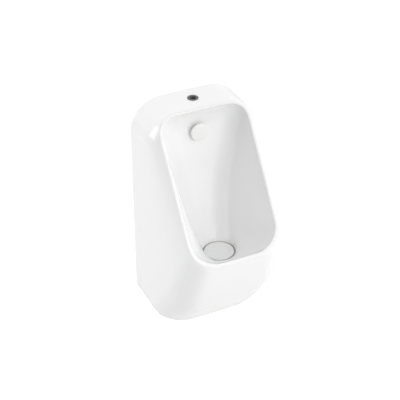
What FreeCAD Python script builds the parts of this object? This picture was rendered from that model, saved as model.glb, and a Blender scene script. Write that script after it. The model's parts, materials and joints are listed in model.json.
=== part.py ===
import FreeCAD, Part
import math
import os
import re
import Sketcher

# Wall hung urinal with a top inlet and a level outlet, in millimetres.
# X runs to the right, the wall is the plane Y = 0, the bowl opens towards -Y, Z is up.
# Each piece is drawn in its own frame, whose heights count from the casting's foot or from a
# joint face, and its Placement lifts it so that the wall bolts' centre is the origin.

os.makedirs("parts", exist_ok=True)
doc = FreeCAD.newDocument("urinal")

SIZES = [
    # casting, outside
    ("width", 325), ("height", 645), ("depth", 350),
    ("crown_radius", 2000), ("back_top_radius", 91), ("flank_bow", 5),
    ("foot_inset", 16.5), ("foot_round", 60), ("foot_depth", 191), ("belly_radius", 600),
    ("edge_radius_rim", 70), ("edge_radius_foot", 92), ("corner_ease", 6),
    # casting, rim
    ("rim_width", 270), ("rim_top_depth", 105), ("rim_foot_height", 297),
    ("rim_top_radius", 55), ("rim_foot_radius", 82), ("lip", 8),
    # casting, bowl and hollow
    ("shell_wall", 10), ("bowl_wall", 10), ("solid_rim", 24), ("bowl_back_depth", 85),
    ("bowl_back_bow", 2.5), ("bowl_narrowing", 1.3), ("bowl_floor_bow", 1.6), ("bowl_round", 46),
    ("drain_depth", 221.5), ("drain_height", 246), ("recess_radius", 47), ("recess_floor", 232),
    ("boss_radius", 58), ("boss_wall", 16),
    # hanging and low fixing
    ("bolt_height", 480), ("bolt_spacing", 200), ("bolt_hole", 9),
    ("ledge_thickness", 14), ("ledge_rise", 26), ("pad_thickness", 2), ("pad_rise", 12),
    ("bracket_plate", 4), ("bracket_width", 34), ("bracket_drop", 28), ("bracket_lip", 18),
    ("lug_inset", 37.5), ("lug_height", 18), ("lug_thickness", 16), ("lug_width", 34),
    ("lug_front", 56), ("lug_back", 20), ("lug_bolt_rise", 26), ("lug_plate_rise", 44),
    ("bushing_wall", 4), ("bushing_rim", 4), ("lug_screw", 8), ("lug_screw_head", 13),
    ("lug_screw_head_height", 5), ("lug_washer", 24), ("washer_thickness", 2), ("lug_nut_width", 13),
    ("lug_nut_height", 6.5), ("screw_end", 4),
    # flush side
    ("inlet_depth", 53), ("flush_pipe", 18), ("seal_wall", 4), ("seal_rim", 2.5),
    ("seal_rim_thickness", 1.5), ("seal_lead_in", 0.6), ("seal_throat", 13.5), ("flush_insertion", 14),
    ("seal_length", 44), ("seal_bead", 1.5), ("seal_bead_height", 3),
    ("pipe_radius", 8), ("pipe_wall", 1.5), ("pipe_grip", 14),
    ("nozzle_drop", 84), ("nozzle_pad", 3), ("nozzle_pad_radius", 20), ("stem_radius", 10),
    ("stem_hole", 1), ("nozzle_bore", 6), ("nozzle_flange", 15), ("flange_thickness", 3),
    ("gasket_thickness", 1.5), ("nut_height", 7), ("nut_width", 30), ("elbow_radius", 12),
    ("elbow_rise", 34), ("stem_insertion", 6), ("pipe_nut_width", 30), ("pipe_nut_height", 13),
    ("pipe_ring_height", 2.5), ("nut_lip", 2.5), ("spigot_radius", 8), ("spigot_height", 4),
    ("spray_slot", 1.5), ("spray_width", 5), ("spray_count", 4),
    ("cap_radius", 26), ("cap_thickness", 3), ("cap_skirt", 4), ("cap_wall", 3), ("cap_socket_wall", 2.5),
    ("cap_round", 2),
    # waste side
    ("tail_radius", 23.5), ("tail_wall", 3), ("tail_hole", 0.5), ("tail_length", 50),
    ("waste_flange", 38), ("waste_nut_width", 66), ("waste_nut_height", 10),
    ("neck_wall", 7), ("neck_height", 22), ("neck_overlap", 16), ("trap_nut_wall", 5),
    ("trap_nut_height", 18), ("trap_seal_height", 3),
    ("bottle_radius", 36), ("bottle_wall", 3), ("bottle_height", 94), ("bottle_shift", 14),
    ("branch_drop", 30), ("branch_reach", 85), ("outlet_radius", 25), ("outlet_wall", 2.5),
    ("outlet_past_wall", 40), ("mark_depth", 0.5), ("mark_width", 2), ("socket_depth", 17),
    ("outlet_seal_length", 3), ("outlet_nut_length", 16),
    ("rose_radius", 38), ("rose_thickness", 8), ("plug_radius", 24), ("plug_thread", 14),
    ("plug_head", 4), ("plug_rim", 4),
    ("dip_radius", 17), ("dip_wall", 1.5), ("dip_length", 132), ("strainer_radius", 36),
    ("strainer_thickness", 2), ("ring_drop", 20),
    ("cover_radius", 42), ("cover_thickness", 3.5), ("cover_peg", 4.9), ("cover_peg_length", 9),
    ("cover_stand", 3), ("cover_foot", 3), ("cover_foot_place", 30), ("cover_feet", 4),
    ("cover_round", 1), ("slot_count", 8), ("slot_width", 4), ("slot_inner", 7), ("slot_outer", 14),
    # clearances
    ("overrun", 24), ("running_gap", 0.1), ("free_gap", 0.3),
]

sheet = doc.addObject("Spreadsheet::Sheet", "Dims")
for row, (alias, value) in enumerate(SIZES, start=1):
    sheet.set(f"A{row}", alias.replace("_", " "))
    sheet.set(f"B{row}", str(value))
    sheet.setAlias(f"B{row}", alias)
doc.recompute()

ALIASES = {alias for alias, _ in SIZES}


def on_sheet(expression):
    """Prefix every size name of an expression with the sheet that holds it."""
    return re.sub(r"[a-z_]+", lambda word: f"Dims.{word[0]}" if word[0] in ALIASES else word[0], expression)


def value_of(expression):
    """Number that an expression of size names has now."""
    return float(sheet.evalExpression(on_sheet(expression)))


def bind(obj, prop, expression):
    """Tie a property of an object to an expression of size names."""
    obj.setExpression(prop, on_sheet(expression))


def place(obj, x="0", y="0", z="0", axis=None, angle="0"):
    """Tie an object's Placement to expressions, turned by an angle about an axis if one is given."""
    if axis:
        obj.Placement.Rotation = FreeCAD.Rotation(axis, value_of(angle))
    bind(obj, "Placement.Base.x", x)
    bind(obj, "Placement.Base.y", y)
    bind(obj, "Placement.Base.z", z)


FOOT = "-bolt_height"
TURN_FORWARD = FreeCAD.Vector(-1, 0, 0)
FACE_FORWARD = (FreeCAD.Vector(1, 0, 0), "90")
FACE_WALL = (FreeCAD.Vector(1, 0, 0), "-90")
nodes = {}


# ---------------------------------------------------------------- sketch helpers

def new_body(label):
    body = doc.addObject("PartDesign::Body", label)
    body.Label = label
    return body


def new_sketch(body, plane, name):
    """Empty sketch on one of the body's own origin planes."""
    sketch = body.newObject("Sketcher::SketchObject", name)
    support = next(item for item in body.Origin.OriginFeatures if item.Role == plane)
    sketch.AttachmentSupport = [(support, "")]
    sketch.MapMode = "FlatFace"
    return sketch


def rule(sketch, expression, kind, *where):
    """Add a driven constraint whose value follows an expression."""
    index = sketch.addConstraint(Sketcher.Constraint(kind, *where, value_of(expression)))
    bind(sketch, f"Constraints[{index}]", expression)


def polygon(sketch, corners):
    """Closed polygon through corners given as pairs of expressions."""
    spots = [FreeCAD.Vector(value_of(u), value_of(v), 0) for u, v in corners]
    first = sketch.GeometryCount
    count = len(spots)
    for index, spot in enumerate(spots):
        sketch.addGeometry(Part.LineSegment(spot, spots[(index + 1) % count]))
    for index, (u, v) in enumerate(corners):
        line = first + index
        sketch.addConstraint(Sketcher.Constraint("Coincident", line, 2, first + (index + 1) % count, 1))
        rule(sketch, u, "DistanceX", -1, 1, line, 1)
        rule(sketch, v, "DistanceY", -1, 1, line, 1)


def circle(sketch, u, v, radius):
    index = sketch.addGeometry(Part.Circle(FreeCAD.Vector(value_of(u), value_of(v), 0),
                                           FreeCAD.Vector(0, 0, 1), value_of(radius)))
    rule(sketch, u, "DistanceX", -1, 1, index, 3)
    rule(sketch, v, "DistanceY", -1, 1, index, 3)
    rule(sketch, radius, "Radius", index)


def arc(sketch, centre, radius, start, end):
    """Arc from one angle to another, in degrees."""
    whole = Part.Circle(FreeCAD.Vector(*centre, 0), FreeCAD.Vector(0, 0, 1), radius)
    return sketch.addGeometry(Part.ArcOfCircle(whole, math.radians(start), math.radians(end)))


def rounded_outline(sketch, half_width, foot, top, foot_radius, top_radius, crown=None):
    """Upright rounded outline, symmetric about the sketch's vertical axis.

    All arguments are expressions. With a crown radius the top edge bows up to the height top.
    """
    half, low, high = value_of(half_width), value_of(foot), value_of(top)
    low_radius, high_radius = value_of(foot_radius), value_of(top_radius)
    bow = value_of(crown) if crown else None
    inner = half - high_radius
    if bow:
        bow_centre = high - bow
        corner = bow_centre + math.sqrt((bow - high_radius) ** 2 - inner ** 2)
        lean = math.degrees(math.asin(inner / (bow - high_radius)))
    else:
        corner = high - high_radius
        lean = 0
    foot_line = sketch.addGeometry(Part.LineSegment(FreeCAD.Vector(low_radius - half, low, 0),
                                                    FreeCAD.Vector(half - low_radius, low, 0)))
    foot_right = arc(sketch, (half - low_radius, low + low_radius), low_radius, 270, 360)
    right = sketch.addGeometry(Part.LineSegment(FreeCAD.Vector(half, low + low_radius, 0),
                                                FreeCAD.Vector(half, corner, 0)))
    top_right = arc(sketch, (inner, corner), high_radius, 0, 90 - lean)
    if bow:
        top_edge = arc(sketch, (0, bow_centre), bow, 90 - lean, 90 + lean)
    else:
        top_edge = sketch.addGeometry(Part.LineSegment(FreeCAD.Vector(inner, high, 0),
                                                       FreeCAD.Vector(-inner, high, 0)))
    top_left = arc(sketch, (-inner, corner), high_radius, 90 + lean, 180)
    left = sketch.addGeometry(Part.LineSegment(FreeCAD.Vector(-half, corner, 0),
                                               FreeCAD.Vector(-half, low + low_radius, 0)))
    foot_left = arc(sketch, (low_radius - half, low + low_radius), low_radius, 180, 270)
    chain = [foot_line, foot_right, right, top_right, top_edge, top_left, left, foot_left]
    for one, other in zip(chain, chain[1:] + chain[:1]):
        sketch.addConstraint(Sketcher.Constraint("Tangent", one, 2, other, 1))
    sketch.addConstraint(Sketcher.Constraint("Horizontal", foot_line))
    sketch.addConstraint(Sketcher.Constraint("Vertical", right))
    sketch.addConstraint(Sketcher.Constraint("Vertical", left))
    sketch.addConstraint(Sketcher.Constraint("Equal", foot_right, foot_left))
    sketch.addConstraint(Sketcher.Constraint("Equal", top_right, top_left))
    rule(sketch, foot_radius, "Radius", foot_right)
    rule(sketch, top_radius, "Radius", top_right)
    rule(sketch, half_width, "DistanceX", -1, 1, right, 1)
    rule(sketch, f"-({half_width})", "DistanceX", -1, 1, left, 1)
    rule(sketch, foot, "DistanceY", -1, 1, foot_line, 1)
    if bow:
        sketch.addConstraint(Sketcher.Constraint("PointOnObject", top_edge, 3, -2))
        rule(sketch, crown, "Radius", top_edge)
        rule(sketch, f"{top} - ({crown})", "DistanceY", -1, 1, top_edge, 3)
    else:
        sketch.addConstraint(Sketcher.Constraint("Horizontal", top_edge))
        rule(sketch, top, "DistanceY", -1, 1, top_edge, 1)


def tilt(sketch, depth, height, lean):
    """Lean a sketch on the XZ plane forwards, about a level line at a depth and height."""
    sketch.AttachmentOffset = FreeCAD.Placement(
        FreeCAD.Vector(0, value_of(height), value_of(depth)), FreeCAD.Rotation(TURN_FORWARD, value_of(lean)))
    bind(sketch, "AttachmentOffset.Base.y", height)
    bind(sketch, "AttachmentOffset.Base.z", depth)
    bind(sketch, "AttachmentOffset.Rotation.Angle", lean)


def pocket(body, sketch, length=None, both_ways=False):
    """Cut a sketch away from the solid, by a length or through all of it."""
    cut = body.newObject("PartDesign::Pocket", "Pocket")
    cut.Profile = sketch
    if both_ways:
        cut.SideType = "Symmetric"
    if length:
        bind(cut, "Length", length)
    else:
        cut.Type = "ThroughAll"
    return cut


# ---------------------------------------------------------------- the casting

RIM_RISE = "(height - rim_foot_height)"
RIM_RUN = "(depth - rim_top_depth)"
RIM_LENGTH = f"sqrt({RIM_RISE} ^ 2 + {RIM_RUN} ^ 2)"
RIM_LEAN = f"atan2({RIM_RUN}; {RIM_RISE})"


FLANK_SHARES = (0.4, 0.7, 0.9, 1)


def belly_cut(body, offset, overrun):
    """Cut everything below the round belly, which bows between the foot's front and the rim's foot."""
    sketch = new_sketch(body, "YZ_Plane", "belly")
    run = value_of("depth - foot_depth")
    rise = value_of("rim_foot_height")
    radius = value_of("belly_radius")
    chord = math.hypot(run, rise)
    back_off = math.sqrt(radius ** 2 - (chord / 2) ** 2)
    centre = (back_off * rise / chord - value_of("foot_depth") - run / 2,
              back_off * run / chord + rise / 2)

    def angle_at(height, reach):
        return 180 + math.degrees(math.asin((centre[1] - height) / reach))

    skin = arc(sketch, centre, radius, angle_at(rise, radius), angle_at(0, radius))
    sketch.toggleConstruction(skin)
    rule(sketch, "-depth", "DistanceX", -1, 1, skin, 1)
    rule(sketch, "rim_foot_height", "DistanceY", -1, 1, skin, 1)
    rule(sketch, "-foot_depth", "DistanceX", -1, 1, skin, 2)
    sketch.addConstraint(Sketcher.Constraint("PointOnObject", skin, 2, -1))
    rule(sketch, "belly_radius", "Radius", skin)

    reach = radius - value_of(offset)
    low = -value_of(overrun)
    high = rise + 2 * value_of(offset)
    cut = arc(sketch, centre, reach, angle_at(high, reach), angle_at(low, reach))
    geometry = sketch.Geometry[cut]
    upper, lower = geometry.StartPoint, geometry.EndPoint
    far = -2 * value_of("depth")
    top_line = sketch.addGeometry(Part.LineSegment(upper, FreeCAD.Vector(far, high, 0)))
    far_line = sketch.addGeometry(Part.LineSegment(FreeCAD.Vector(far, high, 0), FreeCAD.Vector(far, low, 0)))
    low_line = sketch.addGeometry(Part.LineSegment(FreeCAD.Vector(far, low, 0), lower))
    sketch.addConstraint(Sketcher.Constraint("Coincident", cut, 3, skin, 3))
    sketch.addConstraint(Sketcher.Constraint("Coincident", cut, 1, top_line, 1))
    sketch.addConstraint(Sketcher.Constraint("Coincident", top_line, 2, far_line, 1))
    sketch.addConstraint(Sketcher.Constraint("Coincident", far_line, 2, low_line, 1))
    sketch.addConstraint(Sketcher.Constraint("Coincident", low_line, 2, cut, 2))
    sketch.addConstraint(Sketcher.Constraint("Horizontal", top_line))
    sketch.addConstraint(Sketcher.Constraint("Vertical", far_line))
    sketch.addConstraint(Sketcher.Constraint("Horizontal", low_line))
    rule(sketch, f"belly_radius - ({offset})", "Radius", cut)
    rule(sketch, f"rim_foot_height + 2 * ({offset})", "DistanceY", -1, 1, top_line, 1)
    rule(sketch, f"-({overrun})", "DistanceY", -1, 1, low_line, 2)
    rule(sketch, "-2 * depth", "DistanceX", -1, 1, far_line, 1)
    return pocket(body, sketch, both_ways=True)


def flank_outline(body, share, offset):
    """Outline of the outer skin in a plane that leans a share of the way from the wall to the rim."""
    sketch = new_sketch(body, "XZ_Plane", "skin_outline")
    width = f"(width - (width - rim_width) * {share} ^ flank_bow)"
    radius = f"back_top_radius - (back_top_radius - rim_top_radius) * {share} ^ flank_bow"
    lean = f"atan2({share} * {RIM_RUN}; {RIM_RISE})"
    tilt(sketch, f"{share} * depth", "rim_foot_height", lean)
    rounded_outline(sketch, f"{width} / 2 - ({offset})", f"-(rim_foot_height + overrun) / cos({lean})",
                    f"{RIM_RISE} / cos({lean}) - ({offset})", "overrun / 4", f"{radius} - ({offset})",
                    "crown_radius")
    return sketch


def outside_block(label, offset):
    """Solid between the wall and the rim's plane, drawn inwards by an offset from the outer skin.

    The edges between flanks and belly are rounded, more at the foot than at the rim.
    """
    body = new_body(f"{label}_block")
    loft = body.newObject("PartDesign::AdditiveLoft", "flanks")
    loft.Profile = flank_outline(body, 0, offset)
    loft.Sections = [flank_outline(body, share, offset) for share in FLANK_SHARES]
    doc.recompute()
    if offset == "0":
        foot = new_sketch(body, "XY_Plane", "foot")
        polygon(foot, [("-width", "-3 * depth"), ("width", "-3 * depth"), ("width", "depth"), ("-width", "depth")])
        pocket(body, foot)
        doc.recompute()
    belly_cut(body, offset, "0" if offset == "0" else "overrun / 2")
    doc.recompute()
    rim_radius = value_of(f"edge_radius_rim - ({offset})")
    foot_radius = value_of("edge_radius_foot" if offset == "0" else f"edge_radius_foot - corner_ease - ({offset})")
    rounded = []
    for index, edge in enumerate(body.Shape.Edges, start=1):
        first, middle, last = (edge.valueAt(edge.FirstParameter + share * (edge.LastParameter - edge.FirstParameter))
                               for share in (0, 0.5, 1))
        beside_belly = (abs(middle.x) > value_of("rim_width") / 4 and middle.y < -value_of("depth") / 2
                        and 0.2 < middle.z / value_of("rim_foot_height") < 0.8)
        if beside_belly:
            rims_first = first.z > last.z
            rounded.append((index, rim_radius, foot_radius) if rims_first else (index, foot_radius, rim_radius))
    fillet = doc.addObject("Part::Fillet", label)
    fillet.Base = body
    fillet.Edges = rounded
    return fillet


RIM_FRONT = f"(depth - lip * sin({RIM_LEAN}))"
RIM_FLOOR = f"(rim_foot_height + lip * cos({RIM_LEAN}))"
RIM_BACK = f"(rim_top_depth + lip * sin({RIM_LEAN}))"
RIM_CEILING = f"(height - lip * cos({RIM_LEAN}))"
BOWL_SHARES = (0.07, 0.25, 0.5, 0.75, 0.92, 1)


def bowl_outline(body, share, growth):
    """Outline of the bowl in a plane a share of the way from the rim to the drain, grown outwards."""
    left = 1 - share
    front = f"(drain_depth + recess_radius + ({RIM_FRONT} - drain_depth - recess_radius) * {left} + {growth} * {share})"
    floor = f"(drain_height + ({RIM_FLOOR} - drain_height) * {left} ^ bowl_floor_bow - {growth})"
    if share == 0:
        back = f"({RIM_BACK})"
        ceiling = f"({RIM_CEILING} + {growth})"
    else:
        rear = "(drain_depth - recess_radius - bowl_back_depth)"
        back = f"(bowl_back_depth + {rear} * {share} ^ bowl_back_bow - {growth})"
        ceiling = f"({RIM_CEILING} - ({RIM_CEILING} - drain_height) * {share} + {growth} * {1 - 2 * share})"
    lean = f"atan2({front} - {back}; {ceiling} - {floor})"
    length = f"sqrt(({front} - {back}) ^ 2 + ({ceiling} - {floor}) ^ 2)"
    half = f"recess_radius + (rim_width / 2 - lip - recess_radius) * {left} ^ bowl_narrowing + {growth}"
    foot_radius = f"bowl_round + (rim_foot_radius - lip - bowl_round) * {left} + {growth}"
    sketch = new_sketch(body, "XZ_Plane", "bowl_outline")
    tilt(sketch, front, floor, lean)
    rounded_outline(sketch, half, "0", length, foot_radius, f"bowl_round + {growth}",
                    "crown_radius" if share == 0 else None)
    return sketch


def bowl_block(label, growth):
    """Solid that fills the bowl from the rim's plane to the drain, grown outwards by a wall."""
    body = new_body(label)
    loft = body.newObject("PartDesign::AdditiveLoft", "bowl")
    loft.Profile = bowl_outline(body, 0, growth)
    loft.Sections = [bowl_outline(body, share, growth) for share in BOWL_SHARES]
    doc.recompute()
    return body


def foot_trim(label, offset):
    """What is cut off beside the foot, so that the skin's side edges round in to the narrower foot."""
    body = new_body(label)
    centre_u = "(width / 2 - foot_round)"
    centre_v = "sqrt(foot_round ^ 2 - (foot_round - foot_inset) ^ 2)"
    sketch = new_sketch(body, "XZ_Plane", "foot_round")
    radius = f"(foot_round - ({offset}))"
    inset = f"sqrt({radius} ^ 2 - {centre_v} ^ 2)"
    for side in (1, -1):
        mid = (side * value_of(centre_u), value_of(centre_v))
        dip = math.degrees(math.asin(value_of(centre_v) / value_of(radius)))
        low, high = (360 - dip, 360) if side == 1 else (180, 180 + dip)
        bend = arc(sketch, mid, value_of(radius), low, high)
        foot_end, flank_end = (1, 2) if side == 1 else (2, 1)
        foot_x = f"{side} * ({centre_u} + {inset})"
        flank_x = f"{side} * ({centre_u} + {radius})"
        far_x = f"{side} * width"
        rule(sketch, f"{side} * {centre_u}", "DistanceX", -1, 1, bend, 3)
        rule(sketch, centre_v, "DistanceY", -1, 1, bend, 3)
        rule(sketch, radius, "Radius", bend)
        corners = [(foot_x, "0"), (foot_x, "-overrun"), (far_x, "-overrun"), (far_x, centre_v),
                   (flank_x, centre_v)]
        spots = [FreeCAD.Vector(value_of(u), value_of(v), 0) for u, v in corners]
        lines = [sketch.addGeometry(Part.LineSegment(one, other)) for one, other in zip(spots, spots[1:])]
        for one, other in zip(lines, lines[1:]):
            sketch.addConstraint(Sketcher.Constraint("Coincident", one, 2, other, 1))
        for line, (u, v) in zip(lines[1:], corners[1:]):
            rule(sketch, u, "DistanceX", -1, 1, line, 1)
            rule(sketch, v, "DistanceY", -1, 1, line, 1)
        sketch.addConstraint(Sketcher.Constraint("Coincident", lines[0], 1, bend, foot_end))
        sketch.addConstraint(Sketcher.Constraint("PointOnObject", lines[0], 1, -1))
        sketch.addConstraint(Sketcher.Constraint("Coincident", lines[-1], 2, bend, flank_end))
        sketch.addConstraint(Sketcher.Constraint("Horizontal", lines[-1]))
    trim = body.newObject("PartDesign::Pad", "trim")
    trim.Profile = sketch
    trim.SideType = "Symmetric"
    bind(trim, "Length", "4 * depth")
    return body


def cylinder(name, radius, length, x, y, z, turn=None):
    """Cylinder on a spot, standing up unless a turn gives its axis another way."""
    item = doc.addObject("Part::Cylinder", name)
    bind(item, "Radius", radius)
    bind(item, "Height", length)
    place(item, x, y, z, *(turn or ()))
    return item


def block(name, low, high):
    """Box between two corners given as expressions."""
    item = doc.addObject("Part::Box", name)
    for prop, one, other in zip(("Length", "Width", "Height"), low, high):
        bind(item, prop, f"({other}) - ({one})")
    place(item, *low)
    return item


def cut(label, base, tools):
    """Base without its tools."""
    if len(tools) == 1:
        tool = tools[0]
    else:
        tool = doc.addObject("Part::MultiFuse", f"{label}_tools")
        tool.Shapes = tools
    result = doc.addObject("Part::Cut", label)
    result.Base = base
    result.Tool = tool
    result.Label = label
    return result


NOZZLE_HEIGHT = "(height - nozzle_drop)"
LUG_SPOT = "(width / 2 - lug_inset)"
SEAT_FRONT = "(bowl_back_depth + nozzle_pad)"
SEAT_BACK = "(bowl_back_depth - bowl_wall)"
LEDGE_BACK = "(bracket_plate + pad_thickness)"
LUG_BOLT_DEPTH = "((lug_front + lug_back) / 2)"
BUSHING_RADIUS = "(lug_screw / 2 + bushing_wall)"


def casting():
    """The glazed body: outer skin less the hollow behind the bowl, the bowl and the holes."""
    outer = outside_block("outer_skin", "0")
    inner = outside_block("inner_skin", "shell_wall")
    rim = new_body("solid_rim")
    sketch = new_sketch(rim, "XZ_Plane", "rim_plane")
    tilt(sketch, "depth", "rim_foot_height", RIM_LEAN)
    polygon(sketch, [("-width", "-2 * depth"), ("width", "-2 * depth"), ("width", "height"), ("-width", "height")])
    band = rim.newObject("PartDesign::Pad", "band")
    band.Profile = sketch
    band.SideType = "Symmetric"
    bind(band, "Length", "2 * solid_rim")
    kept = [rim, foot_trim("inner_foot_trim", "shell_wall"), bowl_block("bowl_casing", "bowl_wall"),
            block("ledge", ("-width", f"-{LEDGE_BACK} - ledge_thickness", "bolt_height + ledge_rise"),
                  ("width", f"-{LEDGE_BACK}", "height + overrun")),
            cylinder("drain_boss", "boss_radius", "boss_wall + overrun", "0", "-drain_depth",
                     "recess_floor - boss_wall"),
            cylinder("nozzle_back_pad", "nozzle_pad_radius", "nozzle_pad + overrun", "0", f"-{SEAT_BACK}",
                     NOZZLE_HEIGHT, FACE_FORWARD)]
    for side in (1, -1):
        near, far = f"{side} * ({LUG_SPOT} - lug_width / 2)", f"{side} * width"
        low, high = (near, far) if side == 1 else (far, near)
        kept.append(block("lug", (low, "-lug_front", "lug_height"),
                          (high, "-lug_back", "lug_height + lug_thickness")))
    hollow = cut("hollow", inner, kept)
    pad = cylinder("nozzle_front_pad", "nozzle_pad_radius", "overrun", "0", f"-{SEAT_FRONT} + overrun",
                   NOZZLE_HEIGHT, FACE_FORWARD)
    space = cut("bowl_space", bowl_block("bowl", "0"), [pad])
    holes = [foot_trim("outer_foot_trim", "0"), hollow, space,
             cylinder("recess", "recess_radius", "overrun", "0", "-drain_depth", "recess_floor"),
             cylinder("drain_hole", "tail_radius + tail_hole", "2 * overrun", "0", "-drain_depth",
                      "recess_floor - overrun"),
             cylinder("inlet_hole", "flush_pipe / 2 + seal_wall", "2 * overrun", "0", "-inlet_depth",
                      "height - overrun"),
             cylinder("nozzle_hole", "stem_radius + stem_hole", "2 * overrun", "0",
                      f"-{SEAT_FRONT} + overrun", NOZZLE_HEIGHT, FACE_FORWARD),
             cylinder("nut_room", "nozzle_pad_radius", "overrun", "0", f"-{SEAT_BACK}",
                      NOZZLE_HEIGHT, FACE_WALL)]
    for side in (1, -1):
        holes.append(cylinder("lug_hole", f"{BUSHING_RADIUS} + running_gap", "2 * lug_thickness",
                              f"{side} * {LUG_SPOT}", f"-{LUG_BOLT_DEPTH}",
                              "lug_height - lug_thickness / 2"))
    body = cut("ceramic_body", outer, holes)
    place(body, z=FOOT)
    return body


# ---------------------------------------------------------------- turned and bent pieces

def turned(label, outline):
    """Piece turned about its own upright axis, from an outline of radii and heights."""
    body = new_body(label)
    sketch = new_sketch(body, "XZ_Plane", "section")
    polygon(sketch, outline)
    turn = body.newObject("PartDesign::Revolution", "turned")
    turn.Profile = sketch
    turn.ReferenceAxis = (sketch, ["V_Axis"])
    turn.Angle = 360
    return body


def ring(label, inner, outer, low, high):
    """Flat ring or tube between two radii and two heights."""
    return turned(label, [(inner, low), (outer, low), (outer, high), (inner, high)])


def prism(body, plane, corners, length, centred=False):
    """Pad a polygon from one of the body's planes."""
    sketch = new_sketch(body, plane, "outline")
    polygon(sketch, corners)
    pad = body.newObject("PartDesign::Pad", "prism")
    pad.Profile = sketch
    if centred:
        pad.SideType = "Symmetric"
    bind(pad, "Length", length)
    return pad


def drill(body, plane, u, v, radius):
    """Round hole through the whole body, square to one of its planes."""
    sketch = new_sketch(body, plane, "hole")
    circle(sketch, u, v, radius)
    return pocket(body, sketch, both_ways=True)


def spread(body, feature, count):
    """Repeat a feature round the body's upright axis."""
    pattern = body.newObject("PartDesign::PolarPattern", "round")
    pattern.Originals = [feature]
    pattern.Axis = (next(item for item in body.Origin.OriginFeatures if item.Role == "Z_Axis"), [""])
    pattern.Angle = 360
    bind(pattern, "Occurrences", count)
    body.Tip = pattern
    return pattern


def hexagon(width):
    """Corners of a hexagon by its width across flats."""
    return [(f"({width}) / sqrt(3) * cos({60 * side})", f"({width}) / sqrt(3) * sin({60 * side})")
            for side in range(6)]


def nut(label, width, bore, low, high, lip_bore=None, lip="0"):
    """Hexagon nut between two heights, bored through, with a lip at the top if one is given."""
    body = new_body(label)
    prism(body, "XY_Plane", hexagon(width), f"({high}) - ({low})")
    doc.recompute()
    sketch = new_sketch(body, "XY_Plane", "bore")
    circle(sketch, "0", "0", bore)
    bored = pocket(body, sketch, f"({high}) - ({low}) - ({lip})" if lip_bore else None)
    bored.Reversed = True
    doc.recompute()
    if lip_bore:
        opening = new_sketch(body, "XY_Plane", "lip")
        circle(opening, "0", "0", lip_bore)
        through = pocket(body, opening)
        through.Reversed = True
        doc.recompute()
    return body


def finish(label, piece, x="0", y="0", z="0", turn=None):
    """Put a piece in its place and list it as a node."""
    place(piece, x, y, z, *(turn or ()))
    piece.Label = label
    nodes[label] = piece


def finish_pair(label, piece, x, y, z):
    """A piece at a spot right of the middle and its mirror image on the left, as one node."""
    place(piece, x, y, z)
    piece.Label = f"{label}_right"
    other = doc.addObject("Part::Mirroring", f"{label}_left")
    other.Source = piece
    other.Base = FreeCAD.Vector(0, 0, 0)
    other.Normal = FreeCAD.Vector(1, 0, 0)
    both = doc.addObject("Part::Compound", label)
    both.Links = [piece, other]
    both.Label = label
    nodes[label] = both


# ---------------------------------------------------------------- hanging and low fixing

def hangers():
    arm_top = "(ledge_rise - pad_thickness)"
    hook_back = f"({LEDGE_BACK} + ledge_thickness + pad_thickness)"
    bracket = new_body("bracket_shape")
    prism(bracket, "YZ_Plane", [
        ("0", "-bracket_drop"), ("0", f"{arm_top} + bracket_lip"), ("-bracket_plate", f"{arm_top} + bracket_lip"),
        ("-bracket_plate", arm_top), (f"-{hook_back}", arm_top), (f"-{hook_back}", f"{arm_top} + bracket_lip"),
        (f"-{hook_back} - bracket_plate", f"{arm_top} + bracket_lip"),
        (f"-{hook_back} - bracket_plate", f"{arm_top} - bracket_plate"),
        ("-bracket_plate", f"{arm_top} - bracket_plate"), ("-bracket_plate", "-bracket_drop"),
    ], "bracket_width", centred=True)
    doc.recompute()
    drill(bracket, "XZ_Plane", "0", "0", "bolt_hole / 2")
    finish_pair("hanger_bracket", bracket, "bolt_spacing / 2", "0", "0")
    pad = new_body("pad_shape")
    pad_top = "(ledge_rise + pad_rise)"
    prism(pad, "YZ_Plane", [
        ("-bracket_plate", arm_top), (f"-{hook_back}", arm_top), (f"-{hook_back}", pad_top),
        (f"-{hook_back} + pad_thickness", pad_top), (f"-{hook_back} + pad_thickness", "ledge_rise"),
        (f"-{LEDGE_BACK}", "ledge_rise"), (f"-{LEDGE_BACK}", pad_top), ("-bracket_plate", pad_top),
    ], "bracket_width", centred=True)
    finish_pair("hanger_pad", pad, "bolt_spacing / 2", "0", "0")


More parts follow.
